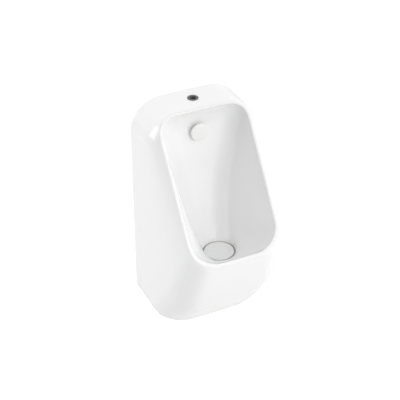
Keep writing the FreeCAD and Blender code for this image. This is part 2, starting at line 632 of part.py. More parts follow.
def low_fixing():
    """Angles on the wall under the casting's lugs; heights count from the lug's underside."""
    arm_top = "-washer_thickness"
    arm_foot = f"({arm_top} - bracket_plate)"
    lug_top = "lug_thickness"
    spot = (LUG_SPOT, "0", f"{FOOT} + lug_height")
    angle = new_body("angle_shape")
    prism(angle, "YZ_Plane", [
        ("0", arm_foot), ("0", "lug_plate_rise"), ("-bracket_plate", "lug_plate_rise"),
        ("-bracket_plate", arm_top), ("-lug_front", arm_top), ("-lug_front", arm_foot),
    ], "lug_width - bushing_rim", centred=True)
    doc.recompute()
    drill(angle, "XZ_Plane", "0", "lug_bolt_rise", "bolt_hole / 2")
    doc.recompute()
    drill(angle, "XY_Plane", "0", f"-{LUG_BOLT_DEPTH}", "lug_screw / 2 + free_gap")
    finish_pair("lug_bracket", angle, *spot)
    over_bolt = (spot[0], f"-{LUG_BOLT_DEPTH}", spot[2])
    bore = "lug_screw / 2 + free_gap"
    finish_pair("lug_bushing", turned("bushing_shape", [
        (bore, arm_top), (f"{BUSHING_RADIUS} + bushing_rim", arm_top), (f"{BUSHING_RADIUS} + bushing_rim", "0"),
        (BUSHING_RADIUS, "0"), (BUSHING_RADIUS, f"{lug_top} - free_gap"), (bore, f"{lug_top} - free_gap"),
    ]), *over_bolt)
    finish_pair("lug_washer", ring("washer_shape", bore, "lug_washer / 2", lug_top,
                                   f"{lug_top} + washer_thickness"), *over_bolt)
    nut_foot = f"({lug_top} + washer_thickness)"
    lock = nut("lug_nut_shape", "lug_nut_width", "lug_screw / 2 + running_gap", nut_foot,
               f"{nut_foot} + lug_nut_height")
    finish_pair("lug_nut", lock, over_bolt[0], over_bolt[1], f"{over_bolt[2]} + {nut_foot}")
    screw = new_body("screw_shape")
    prism(screw, "XY_Plane", hexagon("lug_screw_head"), "lug_screw_head_height")
    doc.recompute()
    shank = new_sketch(screw, "XY_Plane", "shank")
    circle(shank, "0", "0", "lug_screw / 2")
    pad = screw.newObject("PartDesign::Pad", "shank_pad")
    pad.Profile = shank
    bind(pad, "Length", f"lug_screw_head_height - {arm_foot} + {nut_foot} + lug_nut_height + screw_end")
    finish_pair("lug_screw", screw, over_bolt[0], over_bolt[1],
                f"{over_bolt[2]} + {arm_foot} - lug_screw_head_height")


# ---------------------------------------------------------------- flush side

INLET = ("0", "-inlet_depth", f"{FOOT} + height")
NOZZLE_AXIS = f"{FOOT} + {NOZZLE_HEIGHT}"
STEM_END = f"({SEAT_BACK} - washer_thickness - nut_height - free_gap - stem_insertion)"


def flush_inlet():
    """Seal, down pipe and elbow; heights of the seal count from the casting's top."""
    hole = "(flush_pipe / 2 + seal_wall)"
    bead_top = "-(shell_wall + free_gap)"
    grip_top = f"({bead_top} - seal_throat)"
    pipe_top = f"({grip_top} - flush_insertion)"
    bore = "(pipe_radius + running_gap)"
    lead_in = "(flush_pipe / 2 + seal_lead_in)"
    seal = turned("seal", [
        ("flush_pipe / 2", pipe_top), (bore, pipe_top), (bore, "-seal_length"),
        (hole, "-seal_length"), (hole, f"{bead_top} - seal_bead_height"),
        (f"{hole} + seal_bead", f"{bead_top} - seal_bead_height"), (f"{hole} + seal_bead", bead_top),
        (hole, bead_top), (hole, "0"), (f"{hole} + seal_rim", "0"),
        (f"{hole} + seal_rim", "seal_rim_thickness"), (lead_in, "seal_rim_thickness"), (lead_in, grip_top),
        ("flush_pipe / 2", grip_top),
    ])
    finish("inlet_seal", seal, *INLET)
    pipe_foot = "(elbow_rise - pipe_grip - nozzle_drop)"
    pipe = ring("pipe", "pipe_radius - pipe_wall", "pipe_radius", pipe_foot, pipe_top)
    finish("inlet_pipe", pipe, *INLET)

    elbow_spot = ("0", "-inlet_depth", NOZZLE_AXIS)
    reach = f"({STEM_END} + stem_insertion - inlet_depth)"
    upright = cylinder("elbow_upright", "elbow_radius", "elbow_radius + elbow_rise", *elbow_spot[:2],
                       f"{NOZZLE_AXIS} - elbow_radius")
    branch = cylinder("elbow_branch", "elbow_radius", reach, *elbow_spot, FACE_FORWARD)
    solid = doc.addObject("Part::Fuse", "elbow_solid")
    solid.Base = upright
    solid.Tool = branch
    bores = [cylinder("pipe_socket", "pipe_radius + running_gap", "elbow_rise", *elbow_spot[:2],
                      f"{NOZZLE_AXIS} + elbow_rise - pipe_grip"),
             cylinder("elbow_way", "nozzle_bore", "elbow_rise", *elbow_spot),
             cylinder("elbow_bend", "nozzle_bore", "elbow_radius", *elbow_spot, FACE_FORWARD),
             cylinder("stem_socket", "stem_radius + running_gap", "elbow_radius", "0",
                      f"-({STEM_END} - gasket_thickness)", NOZZLE_AXIS, FACE_FORWARD)]
    finish("inlet_elbow", cut("elbow", solid, bores))
    top = (elbow_spot[0], elbow_spot[1], f"{NOZZLE_AXIS} + elbow_rise")
    finish("pipe_ring", ring("pipe_packing", "pipe_radius + running_gap", "elbow_radius - running_gap", "0",
                             "pipe_ring_height"), *top)
    foot = "(pipe_ring_height + nut_lip - pipe_nut_height)"
    lock = nut("pipe_lock", "pipe_nut_width", "elbow_radius + running_gap", foot,
               "pipe_ring_height + nut_lip", "pipe_radius + free_gap", "nut_lip")
    finish("pipe_nut", lock, top[0], top[1], f"{top[2]} + {foot}")


def nozzle():
    """Nozzle through the bowl's back; heights count forwards from its seat on the glaze."""
    seat = ("0", f"-{SEAT_FRONT}", NOZZLE_AXIS, FACE_FORWARD)
    flange_top = "(gasket_thickness + flange_thickness)"
    spigot_top = f"({flange_top} + spigot_height)"
    way_top = f"({flange_top} + spray_slot)"
    stem_foot = f"({STEM_END} - {SEAT_FRONT})"
    body = turned("nozzle_shape", [
        ("nozzle_bore", stem_foot), ("stem_radius", stem_foot), ("stem_radius", "gasket_thickness"),
        ("nozzle_flange", "gasket_thickness"), ("nozzle_flange", flange_top), ("spigot_radius", flange_top),
        ("spigot_radius", spigot_top), ("0", spigot_top), ("0", way_top), ("nozzle_bore", way_top),
    ])
    doc.recompute()
    spray = new_sketch(body, "XY_Plane", "spray")
    spray.AttachmentOffset = FreeCAD.Placement(FreeCAD.Vector(0, 0, value_of(flange_top)), FreeCAD.Rotation())
    bind(spray, "AttachmentOffset.Base.z", flange_top)
    polygon(spray, [("0", "-spray_width / 2"), ("nozzle_flange", "-spray_width / 2"),
                    ("nozzle_flange", "spray_width / 2"), ("0", "spray_width / 2")])
    slot = pocket(body, spray, "spray_slot")
    slot.Reversed = True
    doc.recompute()
    spread(body, slot, "spray_count")
    finish("nozzle_body", body, *seat)
    finish("nozzle_gasket", ring("front_gasket", "stem_radius + running_gap", "nozzle_flange", "0",
                                 "gasket_thickness"), *seat)
    socket = "(spigot_radius + running_gap)"
    socket_foot = f"({way_top} + free_gap)"
    cap_foot = f"({spigot_top} - cap_skirt)"
    cap_top = f"({spigot_top} + cap_thickness)"
    cap = turned("cap_shape", [
        ("0", spigot_top), (socket, spigot_top), (socket, socket_foot),
        (f"{socket} + cap_socket_wall", socket_foot), (f"{socket} + cap_socket_wall", spigot_top),
        ("cap_radius - cap_wall", spigot_top), ("cap_radius - cap_wall", cap_foot), ("cap_radius", cap_foot),
        ("cap_radius", f"{cap_top} - cap_round"), ("cap_radius - cap_round", cap_top), ("0", cap_top),
    ])
    finish("nozzle_cap", cap, *seat)
    back = ("0", f"-{SEAT_BACK}", NOZZLE_AXIS, FACE_WALL)
    finish("nozzle_washer", ring("back_washer", "stem_radius + running_gap", "nozzle_flange", "0",
                                 "washer_thickness"), *back)
    lock = nut("nozzle_lock", "nut_width", "stem_radius + running_gap", "0", "nut_height")
    finish("nozzle_nut", lock, "0", f"-{SEAT_BACK} + washer_thickness", NOZZLE_AXIS, FACE_WALL)
    finish("elbow_seal", ring("stem_ring", "nozzle_bore", "stem_radius", "0", "gasket_thickness"),
           "0", f"-({STEM_END} - gasket_thickness)", NOZZLE_AXIS, FACE_FORWARD)


# ---------------------------------------------------------------- waste side

DRAIN = ("0", "-drain_depth", f"{FOOT} + recess_floor")
FLANGE_TOP = "(gasket_thickness + flange_thickness)"
STRAINER_TOP = f"({FLANGE_TOP} + strainer_thickness)"
TAIL_BORE = "(tail_radius - tail_wall)"
NECK_BORE = "(tail_radius + free_gap)"
NECK_RADIUS = "(tail_radius + neck_wall)"
NECK_TOP = "(neck_overlap - tail_length)"
BOTTLE_TOP = "(-tail_length - free_gap)"
BOTTLE_FOOT = f"({BOTTLE_TOP} - bottle_height)"
BRANCH = f"({BOTTLE_TOP} - branch_drop)"
BRANCH_RADIUS = "(outlet_radius + running_gap + bottle_wall)"


def waste():
    """Drain tail in the recess, and the cover over it; heights count from the recess floor."""
    finish("waste_gasket", ring("flange_gasket", "tail_radius + running_gap", "waste_flange", "0",
                                "gasket_thickness"), *DRAIN)
    tail = turned("tail", [
        (TAIL_BORE, "-tail_length"), ("tail_radius", "-tail_length"), ("tail_radius", "gasket_thickness"),
        ("waste_flange", "gasket_thickness"), ("waste_flange", FLANGE_TOP), (TAIL_BORE, FLANGE_TOP),
    ])
    finish("waste_body", tail, *DRAIN)
    finish("waste_washer", ring("under_washer", "tail_radius + running_gap", "waste_flange",
                                "-boss_wall - washer_thickness", "-boss_wall"), *DRAIN)
    foot = "(-boss_wall - washer_thickness - waste_nut_height)"
    lock = nut("waste_lock", "waste_nut_width", "tail_radius + running_gap", foot, "-boss_wall - washer_thickness")
    finish("waste_nut", lock, DRAIN[0], DRAIN[1], f"{DRAIN[2]} + {foot}")


def insert_and_cover():
    hub = "(cover_peg + running_gap)"
    dip_bore = "(dip_radius - dip_wall)"
    dip_foot = f"({STRAINER_TOP} - dip_length)"
    insert = turned("insert_shape", [
        (hub, FLANGE_TOP), (dip_bore, FLANGE_TOP), (dip_bore, dip_foot), ("dip_radius", dip_foot),
        ("dip_radius", FLANGE_TOP), ("strainer_radius", FLANGE_TOP), ("strainer_radius", STRAINER_TOP),
        (hub, STRAINER_TOP),
    ])
    doc.recompute()
    slot_sketch = new_sketch(insert, "XY_Plane", "slot")
    slot_sketch.AttachmentOffset = FreeCAD.Placement(FreeCAD.Vector(0, 0, value_of(STRAINER_TOP)),
                                                     FreeCAD.Rotation())
    bind(slot_sketch, "AttachmentOffset.Base.z", STRAINER_TOP)
    polygon(slot_sketch, [("slot_inner", "-slot_width / 2"), ("slot_outer", "-slot_width / 2"),
                          ("slot_outer", "slot_width / 2"), ("slot_inner", "slot_width / 2")])
    slot = pocket(insert, slot_sketch, "strainer_thickness + free_gap")
    doc.recompute()
    spread(insert, slot, "slot_count")
    finish("trap_insert", insert, *DRAIN)

    section = f"({TAIL_BORE} - free_gap - dip_radius - running_gap) / 2"
    packing = doc.addObject("Part::Torus", "insert_packing")
    bind(packing, "Radius1", f"dip_radius + running_gap + {section}")
    bind(packing, "Radius2", section)
    finish("insert_ring", packing, DRAIN[0], DRAIN[1], f"{DRAIN[2]} - ring_drop")

    underside = f"({STRAINER_TOP} + cover_stand)"
    top = f"({underside} + cover_thickness)"
    peg_foot = f"({underside} - cover_peg_length)"
    cover = turned("cover_shape", [
        ("0", peg_foot), ("cover_peg", peg_foot), ("cover_peg", underside), ("cover_radius", underside),
        ("cover_radius", f"{top} - cover_round"), ("cover_radius - cover_round", top), ("0", top),
    ])
    doc.recompute()
    foot_sketch = new_sketch(cover, "XY_Plane", "foot")
    foot_sketch.AttachmentOffset = FreeCAD.Placement(FreeCAD.Vector(0, 0, value_of(STRAINER_TOP)),
                                                     FreeCAD.Rotation())
    bind(foot_sketch, "AttachmentOffset.Base.z", STRAINER_TOP)
    circle(foot_sketch, "cover_foot_place", "0", "cover_foot")
    foot = cover.newObject("PartDesign::Pad", "foot_pad")
    foot.Profile = foot_sketch
    bind(foot, "Length", "cover_stand")
    doc.recompute()
    spread(cover, foot, "cover_feet")
    finish("drain_cover", cover, *DRAIN)


def trap():
    """Bottle trap under the tail, with its level branch to the wall."""
    shift = "bottle_shift - drain_depth"
    lift = DRAIN[2]
    solids = doc.addObject("Part::MultiFuse", "trap_solid")
    solids.Shapes = [
        cylinder("neck", NECK_RADIUS, "neck_height", *DRAIN[:2], f"{lift} + {NECK_TOP} - neck_height"),
        cylinder("bottle", "bottle_radius", "bottle_height", "0", shift, f"{lift} + {BOTTLE_FOOT}"),
        cylinder("branch", BRANCH_RADIUS, "branch_reach - bottle_shift", "0", shift, f"{lift} + {BRANCH}", FACE_WALL),
    ]
    socket_start = "-drain_depth + branch_reach - socket_depth"
    bores = [
        cylinder("neck_bore", NECK_BORE, "neck_height", *DRAIN[:2], f"{lift} + {BOTTLE_TOP}"),
        cylinder("dip_way", "dip_radius + 2 * free_gap", "neck_height", *DRAIN[:2],
                 f"{lift} + {BOTTLE_TOP} - bottle_wall - overrun / 2"),
        cylinder("bottle_room", "bottle_radius - bottle_wall", "bottle_height - 2 * bottle_wall", "0", shift,
                 f"{lift} + {BOTTLE_FOOT} + bottle_wall"),
        cylinder("plug_way", "plug_radius + running_gap", "overrun", "0", shift,
                 f"{lift} + {BOTTLE_FOOT} - overrun / 2"),
        cylinder("branch_bore", "outlet_radius - outlet_wall", "branch_reach - bottle_shift", "0", shift,
                 f"{lift} + {BRANCH}", FACE_WALL),
        cylinder("pipe_socket", "outlet_radius + running_gap", "socket_depth + overrun", "0", socket_start,
                 f"{lift} + {BRANCH}", FACE_WALL),
    ]
    finish("trap_body", cut("trap_shape", solids, bores))
    top = (DRAIN[0], DRAIN[1], f"{lift} + {NECK_TOP}")
    finish("trap_seal", ring("neck_seal", "tail_radius + running_gap", NECK_RADIUS, "0", "trap_seal_height"), *top)
    nut_foot = "(trap_seal_height + nut_lip - trap_nut_height)"
    finish("trap_nut", turned("neck_nut", [
        (f"{NECK_RADIUS} + running_gap", nut_foot), (f"{NECK_RADIUS} + trap_nut_wall", nut_foot),
        (f"{NECK_RADIUS} + trap_nut_wall", "trap_seal_height + nut_lip"),
        ("tail_radius + free_gap", "trap_seal_height + nut_lip"), ("tail_radius + free_gap", "trap_seal_height"),
        (f"{NECK_RADIUS} + running_gap", "trap_seal_height"),
    ]), *top)
    bottle_foot = ("0", shift, f"{lift} + {BOTTLE_FOOT}")
    plug = turned("plug_shape", [
        ("0", "-gasket_thickness - plug_head"), ("plug_radius + plug_rim", "-gasket_thickness - plug_head"),
        ("plug_radius + plug_rim", "-gasket_thickness"), ("plug_radius", "-gasket_thickness"),
        ("plug_radius", "plug_thread"), ("plug_radius - bottle_wall", "plug_thread"),
        ("plug_radius - bottle_wall", "0"), ("0", "0"),
    ])
    finish("trap_plug", plug, *bottle_foot)
    finish("plug_seal", ring("plug_ring", "plug_radius + running_gap", "plug_radius + plug_rim",
                             "-gasket_thickness", "0"), *bottle_foot)

    mouth = ("0", "-drain_depth + branch_reach", f"{lift} + {BRANCH}", FACE_WALL)
    finish("outlet_seal", ring("mouth_seal", "outlet_radius + running_gap", BRANCH_RADIUS, "0",
                               "outlet_seal_length"), *mouth)
    nut_end = "(outlet_seal_length + nut_lip)"
    nut_start = f"({nut_end} - outlet_nut_length)"
    finish("outlet_nut", turned("mouth_nut", [
        (f"{BRANCH_RADIUS} + running_gap", nut_start), (f"{BRANCH_RADIUS} + trap_nut_wall", nut_start),
        (f"{BRANCH_RADIUS} + trap_nut_wall", nut_end), ("outlet_radius + free_gap", nut_end),
        ("outlet_radius + free_gap", "outlet_seal_length"), (f"{BRANCH_RADIUS} + running_gap", "outlet_seal_length"),
    ]), *mouth)
    pipe_start = "(free_gap - socket_depth)"
    wall = "(drain_depth - branch_reach)"
    marked = "(outlet_radius - mark_depth)"
    pipe = turned("tail_pipe", [
        ("outlet_radius - outlet_wall", pipe_start), ("outlet_radius", pipe_start), ("outlet_radius", wall),
        (marked, wall), (marked, f"{wall} + mark_width"), ("outlet_radius", f"{wall} + mark_width"),
        ("outlet_radius", f"{wall} + outlet_past_wall"), ("outlet_radius - outlet_wall", f"{wall} + outlet_past_wall"),
    ])
    finish("outlet_pipe", pipe, *mouth)
    finish("wall_rose", ring("rose_shape", "outlet_radius + running_gap", "rose_radius", "-rose_thickness", "0"),
           "0", "0", f"{lift} + {BRANCH}", FACE_WALL)


nodes["ceramic_body"] = casting()
hangers()
low_fixing()
flush_inlet()
nozzle()
waste()
insert_and_cover()
trap()
doc.recompute()

for item in doc.Objects:
    if "Invalid" in item.State or "Error" in item.State:
        raise RuntimeError(f"{item.Label} did not build: {item.State}")

for label, piece in nodes.items():
    shape = piece.Shape
    if shape.isNull() or not shape.isValid() or not shape.Solids:
        raise RuntimeError(f"{label} has no sound solid")
    shape.exportStep(f"parts/{label}.step")
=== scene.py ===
"""Wall hung urinal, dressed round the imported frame.

Metres, +Z up, the wall is the plane Y = 0 and the bowl opens towards -Y. The origin lies midway between
the hangers' wall bolts.
"""

import json
import logging
import math
from dataclasses import dataclass, field
from enum import Enum
from typing import Callable, Sequence

import bmesh
import bpy
import numpy as np
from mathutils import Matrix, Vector
from mathutils.bvhtree import BVHTree

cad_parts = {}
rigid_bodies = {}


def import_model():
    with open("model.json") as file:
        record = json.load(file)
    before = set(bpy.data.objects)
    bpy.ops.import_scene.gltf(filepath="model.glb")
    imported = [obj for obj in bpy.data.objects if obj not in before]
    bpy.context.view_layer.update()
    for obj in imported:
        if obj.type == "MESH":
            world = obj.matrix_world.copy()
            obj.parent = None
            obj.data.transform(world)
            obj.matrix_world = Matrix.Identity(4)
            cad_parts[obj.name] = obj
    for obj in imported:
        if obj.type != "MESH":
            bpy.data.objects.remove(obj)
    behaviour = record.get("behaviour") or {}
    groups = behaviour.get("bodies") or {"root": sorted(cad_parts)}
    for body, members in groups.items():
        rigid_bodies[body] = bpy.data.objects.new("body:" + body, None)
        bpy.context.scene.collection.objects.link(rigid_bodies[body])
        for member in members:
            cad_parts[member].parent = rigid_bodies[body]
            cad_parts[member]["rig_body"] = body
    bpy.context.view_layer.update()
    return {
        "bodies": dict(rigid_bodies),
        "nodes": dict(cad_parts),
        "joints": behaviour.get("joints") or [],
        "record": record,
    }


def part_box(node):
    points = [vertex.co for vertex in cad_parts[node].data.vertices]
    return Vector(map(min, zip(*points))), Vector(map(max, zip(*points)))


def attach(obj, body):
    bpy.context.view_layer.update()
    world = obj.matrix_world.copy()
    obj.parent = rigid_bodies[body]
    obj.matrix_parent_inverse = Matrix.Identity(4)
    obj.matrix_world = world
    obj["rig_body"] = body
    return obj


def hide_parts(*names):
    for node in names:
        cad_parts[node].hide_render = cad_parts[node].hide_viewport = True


log = logging.getLogger("urinal")
Point = tuple[float, float]
Place = Colour = tuple[float, float, float]
Grid = np.ndarray
Piece = bpy.types.Object
Socket = bpy.types.NodeSocket
Sockets = bpy.types.NodeOutputs
Ripple = Callable[[float, float, float], float]
Recipe = Callable[["Nodes", Sockets], Socket]
MIRROR = np.array((-1.0, 1.0, 1.0))
DRAIN_AXIS = (0.0, -0.2215)
SAME_SPOT = 1e-6
WHITE = (1.0, 1.0, 1.0, 1.0)


# ---- shader groups


class Effect(Enum):
    """Shared surface effects, each a node group."""

    CLOUD = "soft_cloud"
    GRAIN = "fine_grain"
    EDGES = "worn_edges"
    RINGS = "turning_rings"
    BRUSHED = "brushed_lines"


class Nodes:
    """A node tree with short calls to add and join its nodes."""

    def __init__(self, tree: bpy.types.NodeTree) -> None:
        """Keep the tree that the nodes go into."""
        self.tree = tree

    def fill(self, socket: Socket, value: object) -> None:
        """Lead a node's output into a socket, or set its plain value.

        Args:
            socket: the input to fill.
            value: an output socket or a plain value.
        """
        if isinstance(value, Socket):
            self.tree.links.new(value, socket)
        else:
            socket.default_value = value

    def add(self, kind: str, inputs: dict[str | int, object] | None = None, **settings: object) -> bpy.types.Node:
        """Add a node, set its properties and fill its sockets.

        Args:
            kind: Blender's name of the node type.
            inputs: values or output sockets by the name or place of the input socket.
            settings: properties of the node.

        Returns:
            The new node.
        """
        node = self.tree.nodes.new(kind)
        for name, value in settings.items():
            setattr(node, name, value)
        for name, value in (inputs or {}).items():
            self.fill(node.inputs[name], value)
        return node

    def math(self, operation: str, *values: object) -> Socket:
        """Work out a number from others."""
        return self.add("ShaderNodeMath", dict(enumerate(values)), operation=operation).outputs[0]

    def place(self) -> Socket:
        """Give the place on the object."""
        return self.add("ShaderNodeTexCoord").outputs["Object"]

    def noise(self, scale: object, detail: float, roughness: float = 0.5, place: Socket | None = None) -> Socket:
        """Give a noise between 0 and 1 over the object, or over another place."""
        inputs = {"Vector": place or self.place(), "Scale": scale, "Detail": detail, "Roughness": roughness}
        return self.add("ShaderNodeTexNoise", inputs).outputs["Fac"]

    def spread(self, value: Socket, span: tuple[object, object], result: tuple[object, object] = (0.0, 1.0),
               **settings: object) -> Socket:
        """Spread the span of a value over the span of the result."""
        inputs = {"Value": value, "From Min": span[0], "From Max": span[1], "To Min": result[0], "To Max": result[1]}
        return self.add("ShaderNodeMapRange", inputs, **settings).outputs["Result"]

    def mix(self, share: Socket, first: object, second: object) -> Socket:
        """Mix two colours."""
        return self.add("ShaderNodeMix", {0: share, 6: first, 7: second}, data_type="RGBA").outputs[2]

    def mix_shader(self, share: Socket, first: Socket, second: Socket) -> Socket:
        """Mix two shaders."""
        return self.add("ShaderNodeMixShader", {0: share, 1: first, 2: second}).outputs[0]

    def effect(self, effect: Effect, values: dict[str, float]) -> Socket:
        """Place an effect's group with its own values."""
        return self.add("ShaderNodeGroup", values, node_tree=EFFECTS.get(effect)).outputs[0]


class Effects:
    """Builds each effect's node group once and hands it out by name."""

    def __init__(self) -> None:
        """List each group's output, its inputs with their defaults, and the method that fills it."""
        self.built: dict[Effect, bpy.types.NodeTree] = {}
        self.recipes: dict[Effect, tuple[str, dict[str, float], Recipe]] = {
            Effect.CLOUD: ("Value", {"Scale": 6.0, "Low": 0.0, "High": 1.0}, self._cloud),
            Effect.GRAIN: ("Height", {"Scale": 900.0, "Depth": 1e-5, "Wave Scale": 40.0, "Wave Depth": 0.0},
                           self._grain),
            Effect.EDGES: ("Mask", {"Start": 0.52, "End": 0.6, "Break Scale": 120.0}, self._edges),
            Effect.RINGS: ("Height", {"Axis X": 0.0, "Axis Y": 0.0, "Pitch": 0.0006, "Depth": 4e-6},
                           self._rings),
            Effect.BRUSHED: ("Value", {"Scale": 1500.0, "Stretch": 0.03}, self._brushed),
        }

    def get(self, effect: Effect) -> bpy.types.NodeTree:
        """Give an effect's group, built when it is first asked for.

        Args:
            effect: which effect.

        Returns:
            Its shader node group.
        """
        if effect not in self.built:
            output, inputs, made_by = self.recipes[effect]
            tree = bpy.data.node_groups.new(effect.value, "ShaderNodeTree")
            for name, value in inputs.items():
                tree.interface.new_socket(name, in_out="INPUT", socket_type="NodeSocketFloat").default_value = value
            tree.interface.new_socket(output, in_out="OUTPUT", socket_type="NodeSocketFloat")
            nodes = Nodes(tree)
            nodes.add("NodeGroupOutput", {output: made_by(nodes, nodes.add("NodeGroupInput").outputs)})
            self.built[effect] = tree
        return self.built[effect]

    @staticmethod
    def _cloud(nodes: Nodes, given: Sockets) -> Socket:
        """Vary slowly between two values."""
        noise = nodes.noise(given["Scale"], 4.0, 0.55)
        return nodes.spread(noise, (0.3, 0.7), (given["Low"], given["High"]))

    @staticmethod
    def _grain(nodes: Nodes, given: Sockets) -> Socket:
        """Raise small bumps, with a long wave under them, in metres."""
        fine = nodes.math("MULTIPLY", nodes.noise(given["Scale"], 2.0), given["Depth"])
        return nodes.math("MULTIPLY_ADD", nodes.noise(given["Wave Scale"], 1.0), given["Wave Depth"], fine)

    @staticmethod
    def _edges(nodes: Nodes, given: Sockets) -> Socket:
        """Mask the convex edges, broken up by a noise."""
        bend = nodes.add("ShaderNodeNewGeometry").outputs["Pointiness"]
        return nodes.math("MULTIPLY", nodes.spread(bend, (given["Start"], given["End"])),
                          nodes.noise(given["Break Scale"], 3.0))

    @staticmethod
    def _rings(nodes: Nodes, given: Sockets) -> Socket:
        """Raise fine rings, as a lathe leaves them about an upright axis.

        Args:
            nodes: the group's nodes.
            given: its inputs.

        Returns:
            Height in metres.
        """
        place = nodes.add("ShaderNodeSeparateXYZ", {0: nodes.place()}).outputs
        flat = nodes.add("ShaderNodeCombineXYZ", {name: nodes.math("SUBTRACT", place[name], given[f"Axis {name}"])
                                                  for name in "XY"})
        radius = nodes.add("ShaderNodeVectorMath", {0: flat.outputs[0]}, operation="LENGTH").outputs["Value"]
        wave = nodes.math("PINGPONG", nodes.math("DIVIDE", radius, given["Pitch"]), 1.0)
        return nodes.math("MULTIPLY", wave, given["Depth"])

    @staticmethod
    def _brushed(nodes: Nodes, given: Sockets) -> Socket:
        """Draw lines that run along X, for rolled sheet.

        Args:
            nodes: the group's nodes.
            given: its inputs.

        Returns:
            Value between 0 and 1.
        """
        stretch = nodes.add("ShaderNodeCombineXYZ", {"X": given["Stretch"], "Y": 1.0, "Z": 1.0}).outputs[0]
        drawn = nodes.add("ShaderNodeVectorMath", {0: nodes.place(), 1: stretch}, operation="MULTIPLY").outputs[0]
        return nodes.noise(given["Scale"], 2.0, place=drawn)


EFFECTS = Effects()


# ---- finishes


@dataclass(frozen=True)
class Finish:
    """Look of one kind of surface.

    Colour and roughness drift slowly over the surface, a fine grain and a long wave (each a scale and a depth
    in metres) bend its normal, and convex edges are a little lighter or darker than the rest.
    """

    name: str
    colour: Colour
    roughness: float
    metallic: float = 0.0
    coat: float = 0.0
    coat_roughness: float = 0.05
    specular: float = 0.5
    drift: float = 0.03
    drift_scale: float = 14.0
    roughness_drift: float = 0.04
    edge_tone: float = 1.06
    edge_start: float = 0.52
    edge_span: float = 0.08
    grain: Point = (900.0, 1e-5)
    wave: Point = (30.0, 0.0)
    brushed: float = 0.0
    rings_at: Point | None = None

    def material(self) -> bpy.types.Material:
        """Give the material, built when it is first asked for.

        Returns:
            Material with this finish's name.
        """
        known = bpy.data.materials.get(self.name)
        if known:
            return known
        material = bpy.data.materials.new(self.name)
        material.use_nodes = True
        nodes = Nodes(material.node_tree)
        shader = material.node_tree.nodes["Principled BSDF"]
        for name, value in {"Metallic": self.metallic, "Specular IOR Level": self.specular,
                            "Coat Weight": self.coat, "Coat Roughness": self.coat_roughness,
                            "Base Color": self._paint(nodes), "Roughness": self._gloss(nodes),
                            "Normal": self._relief(nodes)}.items():
            nodes.fill(shader.inputs[name], value)
        material.diffuse_color = (*self.colour, 1.0)
        return material

    def _shade(self, factor: float) -> tuple[float, float, float, float]:
        """Give the colour made lighter or darker by a factor, kept below white."""
        red, green, blue = (min(0.97, part * factor) for part in self.colour)
        return (red, green, blue, 1.0)

    def _paint(self, nodes: Nodes) -> Socket:
        """Give the drifting colour with its worn edges.

        Args:
            nodes: the material's nodes.

        Returns:
            The colour.
        """
        cloud = nodes.effect(Effect.CLOUD, {"Scale": self.drift_scale})
        tone = nodes.mix(cloud, self._shade(1.0 - self.drift), self._shade(1.0 + self.drift))
        edges = nodes.effect(Effect.EDGES, {"Start": self.edge_start, "End": self.edge_start + self.edge_span})
        return nodes.mix(edges, tone, self._shade(self.edge_tone))

    def _gloss(self, nodes: Nodes) -> Socket:
        """Give the drifting or brushed roughness.

        Args:
            nodes: the material's nodes.

        Returns:
            The roughness.
        """
        low, high = max(0.02, self.roughness - self.roughness_drift), self.roughness + self.roughness_drift
        if self.brushed:
            return nodes.spread(nodes.effect(Effect.BRUSHED, {}), (0.35, 0.65), (low, high + self.brushed))
        return nodes.effect(Effect.CLOUD, {"Scale": self.drift_scale * 3.1, "Low": low, "High": high})

    def _relief(self, nodes: Nodes) -> Socket:
        """Give the normal, bent by the surface's small relief.

        Args:
            nodes: the material's nodes.

        Returns:
            The normal.
        """
        height = nodes.effect(Effect.GRAIN, {"Scale": self.grain[0], "Depth": self.grain[1],
                                             "Wave Scale": self.wave[0], "Wave Depth": self.wave[1]})
        if self.rings_at:
            rings = nodes.effect(Effect.RINGS, {"Axis X": self.rings_at[0], "Axis Y": self.rings_at[1]})
            height = nodes.math("ADD", height, rings)
        bump = nodes.add("ShaderNodeBump", {"Height": height, "Strength": 1.0, "Distance": 1.0})
        return bump.outputs["Normal"]


